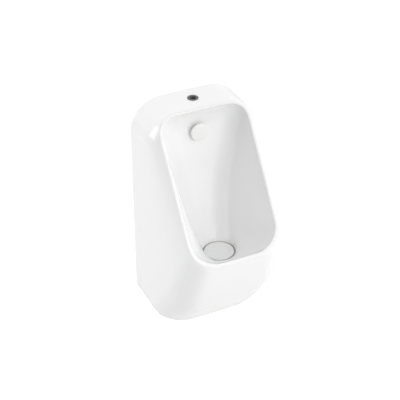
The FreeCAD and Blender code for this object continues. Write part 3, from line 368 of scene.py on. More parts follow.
def finishes() -> dict[str, Finish]:
    """Give the finish of each material slot of the record.

    Returns:
        Finish by slot name.
    """
    row = (
        Finish("glaze", (0.86, 0.865, 0.86), 0.10, coat=0.35, coat_roughness=0.04, drift=0.006, drift_scale=5.0,
               roughness_drift=0.03, edge_tone=1.03, grain=(700.0, 1.5e-6), wave=(22.0, 4e-5)),
        Finish("bisque", (0.78, 0.76, 0.72), 0.72, drift=0.05, drift_scale=9.0, roughness_drift=0.08,
               grain=(1400.0, 6e-5), wave=(60.0, 1.5e-4), specular=0.3),
        Finish("hanger_steel", (0.60, 0.61, 0.62), 0.34, metallic=1.0, drift=0.08, drift_scale=60.0,
               roughness_drift=0.06, edge_tone=1.25, brushed=0.12, grain=(2500.0, 4e-6)),
        Finish("fixing_steel", (0.64, 0.63, 0.60), 0.30, metallic=1.0, drift=0.07, drift_scale=80.0, edge_tone=1.25,
               grain=(3000.0, 4e-6)),
        Finish("pad_rubber", (0.035, 0.035, 0.036), 0.62, drift=0.15, edge_tone=1.5, grain=(2600.0, 3e-5),
               specular=0.4),
        Finish("seal_rubber", (0.17, 0.175, 0.18), 0.50, drift=0.12, edge_tone=1.35, grain=(2600.0, 2e-5),
               specular=0.4),
        Finish("flat_seal", (0.10, 0.10, 0.105), 0.58, drift=0.12, edge_tone=1.3, grain=(2600.0, 2e-5), specular=0.4),
        Finish("bushing_plastic", (0.60, 0.60, 0.58), 0.44, drift=0.04, edge_tone=1.08, grain=(2200.0, 1.2e-5)),
        Finish("flush_pipe", (0.74, 0.74, 0.73), 0.24, drift=0.02, edge_tone=1.05, grain=(1500.0, 4e-6),
               wave=(60.0, 2e-5)),
        Finish("brass", (0.72, 0.50, 0.22), 0.26, metallic=1.0, drift=0.09, drift_scale=70.0, edge_tone=1.2,
               grain=(2500.0, 5e-6)),
        Finish("nozzle_chrome", (0.74, 0.75, 0.77), 0.10, metallic=1.0, drift_scale=50.0, edge_tone=1.1,
               grain=(2500.0, 1e-6)),
        Finish("white_cap", (0.84, 0.845, 0.84), 0.20, coat=0.15, drift=0.008, edge_tone=1.02, grain=(1600.0, 3e-6),
               wave=(50.0, 1.2e-5)),
        Finish("cover_plastic", (0.70, 0.705, 0.70), 0.26, coat=0.1, drift=0.015, drift_scale=30.0,
               grain=(1700.0, 8e-6)),
        Finish("insert_plastic", (0.62, 0.625, 0.62), 0.30, grain=(1700.0, 8e-6)),
        Finish("waste_plastic", (0.58, 0.58, 0.57), 0.38, edge_tone=1.08, grain=(1800.0, 1e-5), rings_at=DRAIN_AXIS),
        Finish("trap_plastic", (0.68, 0.68, 0.67), 0.36, grain=(1800.0, 1e-5), wave=(40.0, 3e-5)),
        Finish("union_plastic", (0.62, 0.62, 0.60), 0.42, drift=0.04, edge_tone=1.1, grain=(2000.0, 1.4e-5)),
        Finish("pipe_plastic", (0.30, 0.31, 0.32), 0.36, drift=0.04, edge_tone=1.15, grain=(1600.0, 6e-6),
               wave=(30.0, 2e-5)),
    )
    return {finish.name: finish for finish in row}


LOOKS = finishes()


# ---- mesh building


def placed(data: bpy.types.ID) -> Piece:
    """Put a mesh, light or camera into the scene.

    Args:
        data: what the object shows, whose name it gets.

    Returns:
        The new object, at the origin.
    """
    made = bpy.data.objects.new(data.name, data)
    bpy.context.scene.collection.objects.link(made)
    return made


def dressed(mesh: bpy.types.Mesh, finish: Finish, crease: float) -> Piece:
    """Shade a mesh smooth, give it its finish and put it into the scene.

    Args:
        mesh: the mesh, whose name the object gets.
        finish: its surface.
        crease: edges that bend by more than this many degrees stay sharp.

    Returns:
        The new object.
    """
    mesh.polygons.foreach_set("use_smooth", [True] * len(mesh.polygons))
    mesh.polygons.foreach_set("material_index", [0] * len(mesh.polygons))
    mesh.set_sharp_from_angle(angle=math.radians(crease))
    mesh.materials.clear()
    mesh.materials.append(finish.material())
    return placed(mesh)


def mesh_of(name: str, points: Sequence[Sequence[float]], faces: Sequence[Sequence[int]]) -> bpy.types.Mesh:
    """Make a mesh.

    Args:
        name: its name.
        points: place of each point, in metres.
        faces: corner numbers of each face, counter-clockwise from outside.

    Returns:
        The mesh.
    """
    mesh = bpy.data.meshes.new(name)
    mesh.from_pydata(points, [], faces)
    mesh.validate()
    return mesh


def tree_of(mesh: bpy.types.Mesh) -> BVHTree:
    """Give a search tree of a mesh's faces."""
    return BVHTree.FromPolygons([v.co.copy() for v in mesh.vertices], [tuple(p.vertices) for p in mesh.polygons])


def lengths(line: Grid) -> Grid:
    """Give how far along a line each of its points lies."""
    return np.concatenate([[0.0], np.cumsum(np.linalg.norm(np.diff(line, axis=0), axis=1))])


def round_corners(corners: Sequence[Place], steps: int, closed: bool) -> list[Point]:
    """Round the corners of a profile.

    Args:
        corners: (u, v, radius) of each corner.
        steps: points along each rounding.
        closed: the last corner joins the first.

    Returns:
        Points of the rounded profile.
    """
    count = len(corners)
    result: list[Point] = []
    for index, (u, v, radius) in enumerate(corners):
        if radius <= 0 or (not closed and index in (0, count - 1)):
            result.append((u, v))
            continue
        here = np.array((u, v))
        before = np.array(corners[index - 1][:2]) - here
        after = np.array(corners[(index + 1) % count][:2]) - here
        reach = min(radius, 0.48 * np.linalg.norm(before), 0.48 * np.linalg.norm(after))
        start = here + before / np.linalg.norm(before) * reach
        end = here + after / np.linalg.norm(after) * reach
        for step in range(steps + 1):
            share = step / steps
            spot = (1 - share) ** 2 * start + 2 * share * (1 - share) * here + share ** 2 * end
            result.append((float(spot[0]), float(spot[1])))
    return result


class Way(Enum):
    """Which way a turned piece's axis points."""

    UP = (0.0, 0.0, 1.0)
    FORWARD = (0.0, -1.0, 0.0)
    WALL = (0.0, 1.0, 0.0)


def turned(name: str, corners: Sequence[Place], spot: Place, way: Way, finish: Finish, sides: int = 96,
           steps: int = 4, closed: bool = True, ripple: Ripple | None = None, crease: float = 35.0) -> Piece:
    """Turn a profile about an axis.

    Args:
        name: name of the new object.
        corners: (radius, height, rounding) of each corner, counter-clockwise with the axis on the left.
        spot: where the profile's height is 0, on the axis.
        way: which way the heights count.
        finish: its surface.
        sides: points round the axis.
        steps: points along each rounding.
        closed: the last corner joins the first; otherwise both lie on the axis.
        ripple: gives a change of radius from (angle, radius, height), for grooves.
        crease: edges sharper than this many degrees stay sharp.

    Returns:
        The new object.
    """
    profile = round_corners(corners, steps, closed)
    axis, across = Vector(way.value), Vector((1.0, 0.0, 0.0))
    third = axis.cross(across)
    points = []
    for radius, height in profile:
        for side in range(sides):
            angle = 2 * math.pi * side / sides
            reach = radius + (ripple(angle, radius, height) if ripple else 0.0)
            points.append(Vector(spot) + axis * height
                          + (across * math.cos(angle) + third * math.sin(angle)) * reach)
    faces = []
    for row, (radius, _) in enumerate(profile):
        after = (row + 1) % len(profile)
        if radius > 1e-7 or profile[after][0] > 1e-7:
            faces += [(row * sides + side, row * sides + (side + 1) % sides,
                       after * sides + (side + 1) % sides, after * sides + side) for side in range(sides)]
    made = dressed(mesh_of(name, points, faces), finish, crease)
    weld(made)
    return made


def weld(made: Piece) -> None:
    """Merge points that lie on each other and turn all faces outwards.

    Args:
        made: object whose mesh is mended.
    """
    work = bmesh.new()
    work.from_mesh(made.data)
    bmesh.ops.remove_doubles(work, verts=work.verts, dist=SAME_SPOT)
    bmesh.ops.dissolve_degenerate(work, dist=SAME_SPOT / 2, edges=work.edges)
    bmesh.ops.recalc_face_normals(work, faces=work.faces)
    work.to_mesh(made.data)
    work.free()


def seat(made: Piece, body: str, slot: str, *nodes: str) -> None:
    """Tell the frame what a new piece rides on and stands for.

    Args:
        made: the new piece.
        body: moving body that carries it.
        slot: material slot of the record; not used.
        nodes: frame nodes that it stands for.
    """
    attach(made, body)
    if nodes:
        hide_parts(*nodes)
    log.info("%s rides on %s and stands for %s", made.name, body, ", ".join(nodes) or "nothing")


# ---- casting


@dataclass
class Casting:
    """The glazed casting as one even skin, sampled from the frame's solid, with a rounded lip.

    Columns run from the rim's top centre round both halves. The outer skin is seen from a core point, the
    bowl from sections that fan from the rim's plane down to the drain's recess.
    """

    glaze: Finish
    hidden: Finish
    half_columns: int = 150
    skin_rows: int = 76
    bowl_rows: int = 56
    crowding: float = 1.12
    foot: float = -0.480
    rim_top: Place = (0.0, -0.105, 0.165)
    rim_low: Place = (0.0, -0.350, -0.183)
    core: Place = (0.0, -0.120, -0.180)
    wall_share: float = 0.70
    lip_width: float = 0.0078
    lip_outer_round: float = 0.0030
    lip_inner_round: float = 0.0036
    pivot: Point = (-0.386, -0.234)
    drain_centre: Place = (0.0, -0.2215, -0.234)
    recess_radius: float = 0.047
    recess_floor: float = -0.248
    drain_radius: float = 0.024
    nozzle_spot: Point = (0.0, 0.081)
    nozzle_clear: float = 0.027
    inlet_spot: Point = (0.0, -0.053)
    inlet_radius: float = 0.0136
    inlet_cuts: int = 32
    rim_beyond: float = 0.8
    outline_beyond: float = 1.2
    skin_beyond: float = 1.3
    rim_rays: int = 1201
    outline_rays: int = 1600
    foot_half_width: float = 0.146
    covered_within: float = 0.008
    covered_turn: float = 0.35
    tree: BVHTree = field(init=False)
    angles: Grid = field(init=False)
    rim: Grid = field(init=False)
    fall: Grid = field(init=False)
    inner: Grid = field(init=False)
    drop: Grid = field(init=False)
    reach: Grid = field(init=False)

    def build(self, node: Piece) -> list[Piece]:
        """Build the glazed skin and the hidden remainder of the casting.

        Args:
            node: the frame's solid of the casting.

        Returns:
            The skin and the remainder.
        """
        self.tree = tree_of(node.data)
        self._rim()
        self._reaches()
        rows = np.concatenate([self._skin()[::-1], self._lip(), self._bowl()], axis=0)
        made = self._mirrored("casting_glazed", rows)
        self._open_inlet(made)
        return [made, self._remainder(node, made)]

    def _first(self, origin: Grid, direction: Grid) -> Grid | None:
        """Give the first point of the solid that a ray meets."""
        hit = self.tree.ray_cast(Vector(origin), Vector(direction))[0]
        return None if hit is None else np.array(hit)

    def _rim_axes(self) -> tuple[Grid, Grid, Grid]:
        """Find the rim's plane.

        Returns:
            Its upward direction, its outward normal and its centre.
        """
        top, low = np.array(self.rim_top), np.array(self.rim_low)
        upward = (top - low) / np.linalg.norm(top - low)
        outward = np.array((0.0, -upward[2], upward[1]))
        return upward, outward, (top + low) / 2

    def _around(self, centre: Grid, zero: Grid, angles: Grid, beyond: float) -> Grid:
        """Sample the solid in a plane, by rays that run towards a centre.

        Args:
            centre: where the rays meet.
            zero: direction at angle 0; a quarter turn is +X.
            angles: one ray each.
            beyond: how far out they start; at 0 they run outwards.

        Returns:
            The points met.
        """
        hits = []
        for angle in angles:
            direction = np.array((math.sin(angle), 0.0, 0.0)) + zero * math.cos(angle)
            hits.append(self._first(centre + direction * beyond, -direction if beyond else direction))
        return np.array([hit for hit in hits if hit is not None])

    def _ring(self, depth: float, angles: Grid, beyond: float) -> Grid:
        """Sample the outline of the rim or the bowl at a depth behind the rim's plane."""
        upward, outward, centre = self._rim_axes()
        return self._around(centre - outward * depth, upward, angles, beyond)

    def _rim(self) -> None:
        """Sample the rim's outer and inner edges, and the directions in which skin and bowl leave them."""
        fine = np.linspace(0.0, math.pi, self.rim_rays)
        length = lengths(self._ring(0.003, fine, self.rim_beyond))
        self.angles = np.interp(np.linspace(0.0, length[-1], self.half_columns + 1), length, fine)
        result = []
        for beyond in (self.rim_beyond, 0.0):
            near, far = (self._ring(depth, self.angles, beyond) for depth in (0.0015, 0.0045))
            edge = self._even(near + (near - far) * 0.5, 4)
            leave = self._even(far - near, 24)
            result += [edge, leave / np.linalg.norm(leave, axis=1)[:, None]]
        self.rim, self.fall, self.inner, self.drop = result

    def _reaches(self) -> None:
        """Find how far the outer rounding reaches in each column, so that the lip stays evenly wide."""
        width = np.linalg.norm(self.rim[:, None] - self.inner[None], axis=2).min(axis=1)
        reach = self.lip_outer_round + np.maximum(0.0, width - self.lip_width)
        for _ in range(12):
            padded = np.concatenate([[reach[1]], reach, [reach[-2]]])
            reach = 0.5 * reach + 0.25 * (padded[:-2] + padded[2:])
        self.reach = reach[:, None]

    def _outline(self) -> Grid:
        """Trace the casting's edge on the wall and then round its foot, for the +X half.

        Returns:
            One point per column.
        """
        corner = math.pi - math.atan2(self.foot_half_width, self.core[2] - self.foot)
        wall = self._around(np.array((0.0, -0.0008, self.core[2])), np.array((0.0, 0.0, 1.0)),
                            np.linspace(0.0, corner, self.outline_rays), self.outline_beyond)
        wall[:, 1] = 0.0
        foot = self._around(np.array((0.0, -0.0010, self.foot + 0.0008)), np.array((0.0, -1.0, 0.0)),
                            np.linspace(math.pi / 2, 0.0, self.outline_rays), self.outline_beyond)
        foot[:, 2] = self.foot
        wall = wall[wall[:, 2] > self.foot + 0.002]
        hook = foot[0].copy()
        hook[1] = 0.0
        turn = round(self.wall_share * self.half_columns)
        parts = []
        for line, count in ((np.vstack([wall, hook]), turn),
                            (np.vstack([hook, foot[foot[:, 1] < -0.003]]), self.half_columns - turn)):
            length = lengths(line)
            even = np.linspace(0.0, length[-1], count + 1)
            parts.append(np.stack([np.interp(even, length, line[:, axis]) for axis in range(3)], axis=1))
        return np.vstack([parts[0], parts[1][1:]])

    def _skin(self) -> Grid:
        """Sample the outer skin between the rim's rounding and the wall or foot.

        Returns:
            Rows from the rim outwards.
        """
        edge = self._outline()
        start = self.rim + self.fall * self.reach
        rows = [start]
        for share in np.linspace(0.0, 1.0, self.skin_rows + 1)[1:-1] ** self.crowding:
            rows.append(np.array([self._seen(aim) for aim in start * (1 - share) + edge * share]))
        return self._calm(np.array([*rows, edge]), passes=3)

    def _seen(self, aim: Grid) -> Grid:
        """Give the skin's point in one direction from the core, with the flush hole bridged.

        Args:
            aim: point that the ray runs through, used itself where the solid isn't met.

        Returns:
            Point of the skin.
        """
        core = np.array(self.core)
        direction = (aim - core) / np.linalg.norm(aim - core)
        if direction[2] > 0.2:
            level = core + direction * ((self.rim_top[2] - core[2]) / direction[2])
            if np.hypot(level[0] - self.inlet_spot[0], level[1] - self.inlet_spot[1]) < self.inlet_radius + 0.003:
                return level - np.array((0.0, 0.0, 5e-5))
        hit = self._first(core + direction * self.skin_beyond, -direction)
        return aim if hit is None else hit

    @staticmethod
    def _even(line: Grid, passes: int) -> Grid:
        """Smooth a half outline along its columns, mirrored at both ends.

        Args:
            line: one row per column.
            passes: how often.

        Returns:
            The smoothed outline.
        """
        line = line.copy()
        for _ in range(passes):
            padded = np.vstack([line[1] * MIRROR, line, line[-2] * MIRROR])
            line = 0.5 * line + 0.25 * (padded[:-2] + padded[2:])
        line[[0, -1], 0] = 0.0
        return line

    @staticmethod
    def _calm(grid: Grid, passes: int) -> Grid:
        """Smooth a half grid a little between its first and last rows.

        Args:
            grid: rows of points.
            passes: how often.

        Returns:
            The smoothed grid.
        """
        grid, weight = grid.copy(), 0.35
        for _ in range(passes):
            left, right = np.roll(grid, 1, axis=1), np.roll(grid, -1, axis=1)
            left[:, 0], right[:, -1] = grid[:, 1] * MIRROR, grid[:, -2] * MIRROR
            grid[1:-1] += weight * (((left + right) / 2)[1:-1] - grid[1:-1])
            grid[2:-2] += weight * ((grid[1:-3] + grid[3:-1]) / 2 - grid[2:-2])
        grid[:, [0, -1], 0] = 0.0
        return grid

    def _lip(self) -> Grid:
        """Round the lip from the skin over to the bowl.

        Returns:
            Rows from the skin to the bowl, without the skin's first row.
        """
        across = self.inner - self.rim
        across /= np.linalg.norm(across, axis=1)[:, None]
        inward = self.lip_inner_round
        rows = []
        for edge, start, end, shares in (
                (self.rim, self.fall * self.reach, across * self.reach, np.linspace(0.0, 1.0, 12)[1:]),
                (self.inner, -across * inward, self.drop * inward, np.linspace(0.0, 1.0, 8))):
            rows += [edge + (1 - share) ** 2 * start + share ** 2 * end for share in shares]
        return np.array(rows)

    def _bowl(self) -> Grid:
        """Sample the bowl from the lip's rounding down to the drain hole.

        Returns:
            Rows from the lip down.
        """
        pivot, centre = np.array((0.0, *self.pivot)), np.array(self.drain_centre)
        lean = math.atan2(self.rim_top[2] - self.rim_low[2], self.rim_top[1] - self.rim_low[1])
        far, near = np.linalg.norm(self._rim_axes()[2] - pivot), np.linalg.norm(centre - pivot)
        rows = []
        for share in np.linspace(0.0, 1.0, self.bowl_rows + 1)[1:]:
            angle = lean * (1 - share) + 0.0005
            onward = np.array((0.0, math.cos(angle), math.sin(angle)))
            middle = pivot + onward * (near + (far - near) * (1 - share))
            rows.append(self._over_pad(self._around(middle, onward, self.angles, 0.0)))
        grid = self._calm(np.array([self.inner + self.drop * self.lip_inner_round, *rows]), passes=2)[1:]
        offset = grid[-1] - centre
        radial = offset / np.linalg.norm(offset[:, :2], axis=1)[:, None]
        radial[:, 2] = 0.0
        floor, hole = self.recess_floor - centre[2], self.drain_radius - self.recess_radius
        grid[-1] = centre + radial * (self.recess_radius + 0.0015)
        down = [centre + radial * (self.recess_radius + out) + np.array((0.0, 0.0, fall)) for out, fall in (
            (0.0006, -0.0003), (0.0, -0.0014), (0.0, -0.006), (0.0, -0.0125), (-0.0003, floor + 0.0006),
            (-0.0015, floor), (-0.012, floor), (hole + 0.0008, floor), (hole, floor - 0.0008), (hole, floor - 0.006))]
        return np.concatenate([grid, np.array(down)], axis=0)

    def _over_pad(self, row: Grid) -> Grid:
        """Bridge a row of the bowl over the nozzle's pad, which its cap hides.

        Args:
            row: one point per column.

        Returns:
            The bridged row.
        """
        away = np.hypot(row[:, 0] - self.nozzle_spot[0], row[:, 2] - self.nozzle_spot[1])
        bad = (away < self.nozzle_clear) & (row[:, 1] > -0.2)
        if bad.any():
            first = int(np.argmax(~bad & (np.arange(len(row)) > np.flatnonzero(bad).max())))
            row = row.copy()
            row[:first, 1:] = row[first, 1:]
        return row

    def _mirrored(self, name: str, half: Grid) -> Piece:
        """Mirror a half grid and join both halves.

        Args:
            name: name of the new object.
            half: rows of points of the +X half, from the rim's top centre to its low centre.

        Returns:
            The new object.
        """
        grid = np.concatenate([half, half[:, -2:0:-1] * MIRROR], axis=1)
        rows, columns = grid.shape[:2]
        corner = np.arange(rows * columns).reshape(rows, columns)
        after = np.roll(corner, -1, axis=1)
        faces = np.stack([corner[1:], after[1:], after[:-1], corner[:-1]], axis=2).reshape(-1, 4)
        return dressed(mesh_of(name, grid.reshape(-1, 3).tolist(), faces.tolist()), self.glaze, 60.0)

    def _open_inlet(self, made: Piece) -> None:
        """Cut the flush hole into the skin's level top.

        Args:
            made: the glazed skin.
        """
        work = bmesh.new()
        work.from_mesh(made.data)
        spot = Vector((*self.inlet_spot, self.rim_top[2]))
        for step in range(self.inlet_cuts):
            angle = 2 * math.pi * step / self.inlet_cuts
            side = Vector((math.cos(angle), math.sin(angle), 0.0))
            near = [face for face in work.faces if (face.calc_center_median() - spot).length < 0.03]
            parts = {part for face in near for part in (face, *face.edges, *face.verts)}
            bmesh.ops.bisect_plane(work, geom=list(parts), plane_co=spot + side * self.inlet_radius, plane_no=side,
                                   dist=SAME_SPOT)
        inner = [face for face in work.faces
                 if (face.calc_center_median() - spot).length < self.inlet_radius and face.normal.z > 0.9]
        bmesh.ops.delete(work, geom=inner, context="FACES")
        work.to_mesh(made.data)
        work.free()

    def _remainder(self, node: Piece, skin: Piece) -> Piece:
        """Copy the faces of the solid that the new skin doesn't cover.

        Args:
            node: the frame's solid.
            skin: the new skin.

        Returns:
            The hidden remainder.
        """
        cover = tree_of(skin.data)
        mesh = node.data.copy()
        mesh.name = "casting_hidden"
        work = bmesh.new()
        work.from_mesh(mesh)
        bmesh.ops.remove_doubles(work, verts=work.verts, dist=SAME_SPOT)
        covered = []
        for face in work.faces:
            middle = face.calc_center_median()
            normal, distance = cover.find_nearest(middle)[1::2]
            on_foot = face.normal.z < -0.98 and middle.z < self.foot + 0.0005
            on_wall = face.normal.y > 0.98 and middle.y > -0.0005
            if (distance < self.covered_within and normal.dot(face.normal) > self.covered_turn
                    and not on_foot and not on_wall):
                covered.append(face)
        bmesh.ops.delete(work, geom=covered, context="FACES")
        work.to_mesh(mesh)
        work.free()
        return dressed(mesh, self.hidden, 30.0)


# ---- small pieces


@dataclass
class FlushSide:
    """What shows of the flush: the seal in the top and the cap on the bowl's back wall."""

    seal_spot: Place = (0.0, -0.053, 0.165)
    seal_flange: float = 0.0154
    cap_spot: Place = (0.0, -0.0925, 0.081)
    cap_radius: float = 0.0258
    cap_depth: float = 0.0069

    def build(self) -> None:
        """Build the seal and the cap."""
        seal = turned("flush_seal", [
            (0.0081, -0.0440, 0.0004), (0.0081, -0.0378, 0.0002), (0.0090, -0.0378, 0.0002), (0.0090, -0.0243, 0.0004),
            (0.0096, -0.0233, 0.0003), (0.0096, 0.0012, 0.0006), (0.0112, 0.0015, 0.0008),
            (self.seal_flange, 0.0014, 0.0009), (self.seal_flange, 0.0001, 0.0003), (0.0128, 0.0001, 0.0002),
            (0.0128, -0.0103, 0.0002), (0.0143, -0.0103, 0.0005), (0.0143, -0.0133, 0.0005), (0.0128, -0.0133, 0.0002),
            (0.0128, -0.0440, 0.0006)], self.seal_spot, Way.UP, LOOKS["seal_rubber"])
        seat(seal, "urinal", "seal_rubber", "inlet_seal")
        cap = turned("nozzle_cap_turned", [
            (0.0, self.cap_depth, 0.0), (self.cap_radius - 0.008, self.cap_depth, 0.006),
            (self.cap_radius, self.cap_depth - 0.0012, 0.0026), (self.cap_radius, 0.0002, 0.0008),
            (0.0, 0.0002, 0.0)], self.cap_spot, Way.FORWARD, LOOKS["white_cap"], 128, 6, False)
        seat(cap, "urinal", "white_cap", "nozzle_cap")


def joined(name: str, parts: Sequence[Piece]) -> Piece:
    """Join several objects' meshes into the first one.

    Args:
        name: name of the joined object.
        parts: objects with one material each, the first of which is kept.

    Returns:
        The joined object.
    """
    kept = parts[0]
    work = bmesh.new()
    for part in parts:
        work.from_mesh(part.data)
    work.to_mesh(kept.data)
    work.free()
    kept.data.set_sharp_from_angle(angle=math.radians(35.0))
    for part in parts[1:]:
        bpy.data.objects.remove(part)
    kept.name = kept.data.name = name
    return kept


@dataclass
class Cover:
    """The loose disc over the drain, on four feet and a middle peg."""

    thickness: float = 0.0035
    peg_radius: float = 0.0049
    foot_radius: float = 0.0030
    foot_place: float = 0.030
    foot_height: float = 0.0030
    feet: int = 4

    def build(self) -> None:
        """Build the disc with soft edges, its peg and its feet."""
        low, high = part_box("drain_cover")
        height, radius = high.z - low.z, (high.x - low.x) / 2
        under = height - self.thickness
        centre = Vector((0.0, (low.y + high.y) / 2, low.z))
        disc = turned("drain_disc", [
            (0.0, 0.0, 0.0), (self.peg_radius, 0.0, 0.0010), (self.peg_radius, under, 0.0008),
            (radius, under, 0.0006), (radius, height - 0.0006, 0.0014), (radius - 0.008, height, 0.006),
            (0.0, height, 0.0)], centre, Way.UP, LOOKS["cover_plastic"], 128, 6, False)
        parts = [disc]
        for step in range(self.feet):
            turn = 2 * math.pi * step / self.feet
            spot = centre + Vector((math.cos(turn), math.sin(turn), 0.0)) * self.foot_place
            parts.append(turned("foot", [
                (0.0, under - self.foot_height, 0.0), (self.foot_radius, under - self.foot_height, 0.0006),
                (self.foot_radius, under + 0.0005, 0.0), (0.0, under + 0.0005, 0.0)], spot, Way.UP,
                LOOKS["cover_plastic"], sides=32, closed=False))
        seat(joined("drain_disc", parts), "cover", "cover_plastic", "drain_cover")


def ribs(count: int, depth: float, radius_from: float, edge: Point) -> Ripple:
    """Give a ripple of rounded grooves for a hand nut's outer wall.

    Args:
        count: how many grooves.
        depth: how deep they are.
        radius_from: only points further out than this are moved.
        edge: heights between which the grooves run.

    Returns:
        Change of radius by angle, radius and height.
    """
    def ripple(angle: float, radius: float, height: float) -> float:
        """Give the change of radius at one point."""
        grooved = radius >= radius_from and edge[0] < height < edge[1]
        return -depth * max(0.0, math.cos(angle * count)) ** 3 if grooved else 0.0

    return ripple


@dataclass
class HandNuts:
    """The ribbed union nuts and the plug of the trap."""

    wall: float = 0.0049
    lip: float = 0.0025
    neck_hole: float = 0.0238
    branch_hole: float = 0.0253
    groove: float = 0.0014
    head: float = 0.0040
    shank: float = 0.0240

    def build(self) -> None:
        """Build both nuts and the plug."""
        self._nut("neck_union", "trap_nut", Way.UP, self.neck_hole, 20)
        self._nut("branch_union", "outlet_nut", Way.WALL, self.branch_hole, 18)
        self._plug()

    def _nut(self, name: str, node: str, way: Way, hole: float, count: int) -> None:
        """Build a union nut inside its frame piece's box.

        Args:
            name: name of the new piece.
            node: frame node that it stands for.
            way: which way its lip points.
            hole: radius of the hole in its lip.
            count: number of grooves.
        """
        low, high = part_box(node)
        along = 2 if way is Way.UP else 1
        length, radius = (high - low)[along], (high.x - low.x) / 2
        spot = (low + high) / 2
        spot[along] = low[along]
        rings = [(radius, share * length, 0.0) for share in (0.14, 0.17, 0.5, 0.83, 0.86)]
        corners = [(radius - self.wall, 0.0, 0.0006), (radius - 0.0002, 0.0, 0.0012), *rings,
                   (radius - 0.0002, length, 0.0014), (hole, length, 0.0006), (hole, length - self.lip, 0.0),
                   (radius - self.wall, length - self.lip, 0.0008)]
        made = turned(name, corners, spot, way, LOOKS["union_plastic"], sides=360, crease=50.0,
                      ripple=ribs(count, self.groove, radius - 0.0001, (0.15 * length, 0.85 * length)))
        seat(made, "urinal", "union_plastic", node)

    def _plug(self) -> None:
        """Build the trap's plug with grooves round its head."""
        low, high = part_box("trap_plug")
        middle = (low + high) / 2
        radius, length, head, shank = (high.x - low.x) / 2, high.z - low.z, self.head, self.shank
        corners = [
            (0.0, 0.0012, 0.0), (radius - 0.0075, 0.0012, 0.0008), (radius - 0.0060, 0.0, 0.0008),
            (radius - 0.0002, 0.0, 0.0010), (radius, head * 0.4, 0.0), (radius, head * 0.7, 0.0),
            (radius - 0.0002, head, 0.0006), (shank, head, 0.0), (shank, length, 0.0008),
            (shank - 0.0030, length, 0.0006), (shank - 0.0030, head + 0.0015, 0.0006), (0.0, head + 0.0015, 0.0)]
        made = turned("bottle_plug", corners, (middle.x, middle.y, low.z), Way.UP,
                      LOOKS["union_plastic"], sides=288, closed=False, crease=50.0,
                      ripple=ribs(24, 0.0010, radius - 0.0004, (-0.001, head)))
        seat(made, "urinal", "union_plastic", "trap_plug")


@dataclass
class Softened:
    """The other pieces of the frame with their edges eased."""

    ease: float = 0.0004
    steps: int = 2
    apart: tuple[str, ...] = ("ceramic_body", "inlet_seal", "nozzle_cap", "drain_cover", "trap_nut", "outlet_nut",
                              "trap_plug", "insert_ring")

    def build(self, nodes: dict[str, Piece], slots: dict[str, str]) -> None:
        """Copy each piece that has no mesh of its own and ease its edges.

        Args:
            nodes: frame piece by name.
            slots: material slot by piece name.
        """
        for name, node in nodes.items():
            if name not in self.apart:
                seat(self._copy(name, node, LOOKS[slots[name]]), node["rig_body"], slots[name], name)

    def _copy(self, name: str, node: Piece, finish: Finish) -> Piece:
        """Copy one piece, join its faces and bevel what bends sharply.

        Args:
            name: the piece's name.
            node: the frame's piece.
            finish: its surface.

        Returns:
            The new object.
        """
        mesh = node.data.copy()
        mesh.name = f"{name}_eased"
        work = bmesh.new()
        work.from_mesh(mesh)
        bmesh.ops.remove_doubles(work, verts=work.verts, dist=SAME_SPOT)
        bmesh.ops.dissolve_limit(work, angle_limit=math.radians(1.0), verts=work.verts, edges=work.edges)
        work.to_mesh(mesh)
        work.free()
        made = dressed(mesh, finish, 30.0)
        bevel = made.modifiers.new("ease", "BEVEL")
        bevel.width, bevel.segments = self.ease, self.steps
        bevel.limit_method, bevel.angle_limit = "ANGLE", math.radians(35.0)
        return made


# ---- the stage


@dataclass(frozen=True)
class Lamp:
    """A square soft light: where it hangs, its side and its power in watts."""

    name: str
    place: Place
    size: float
    power: float


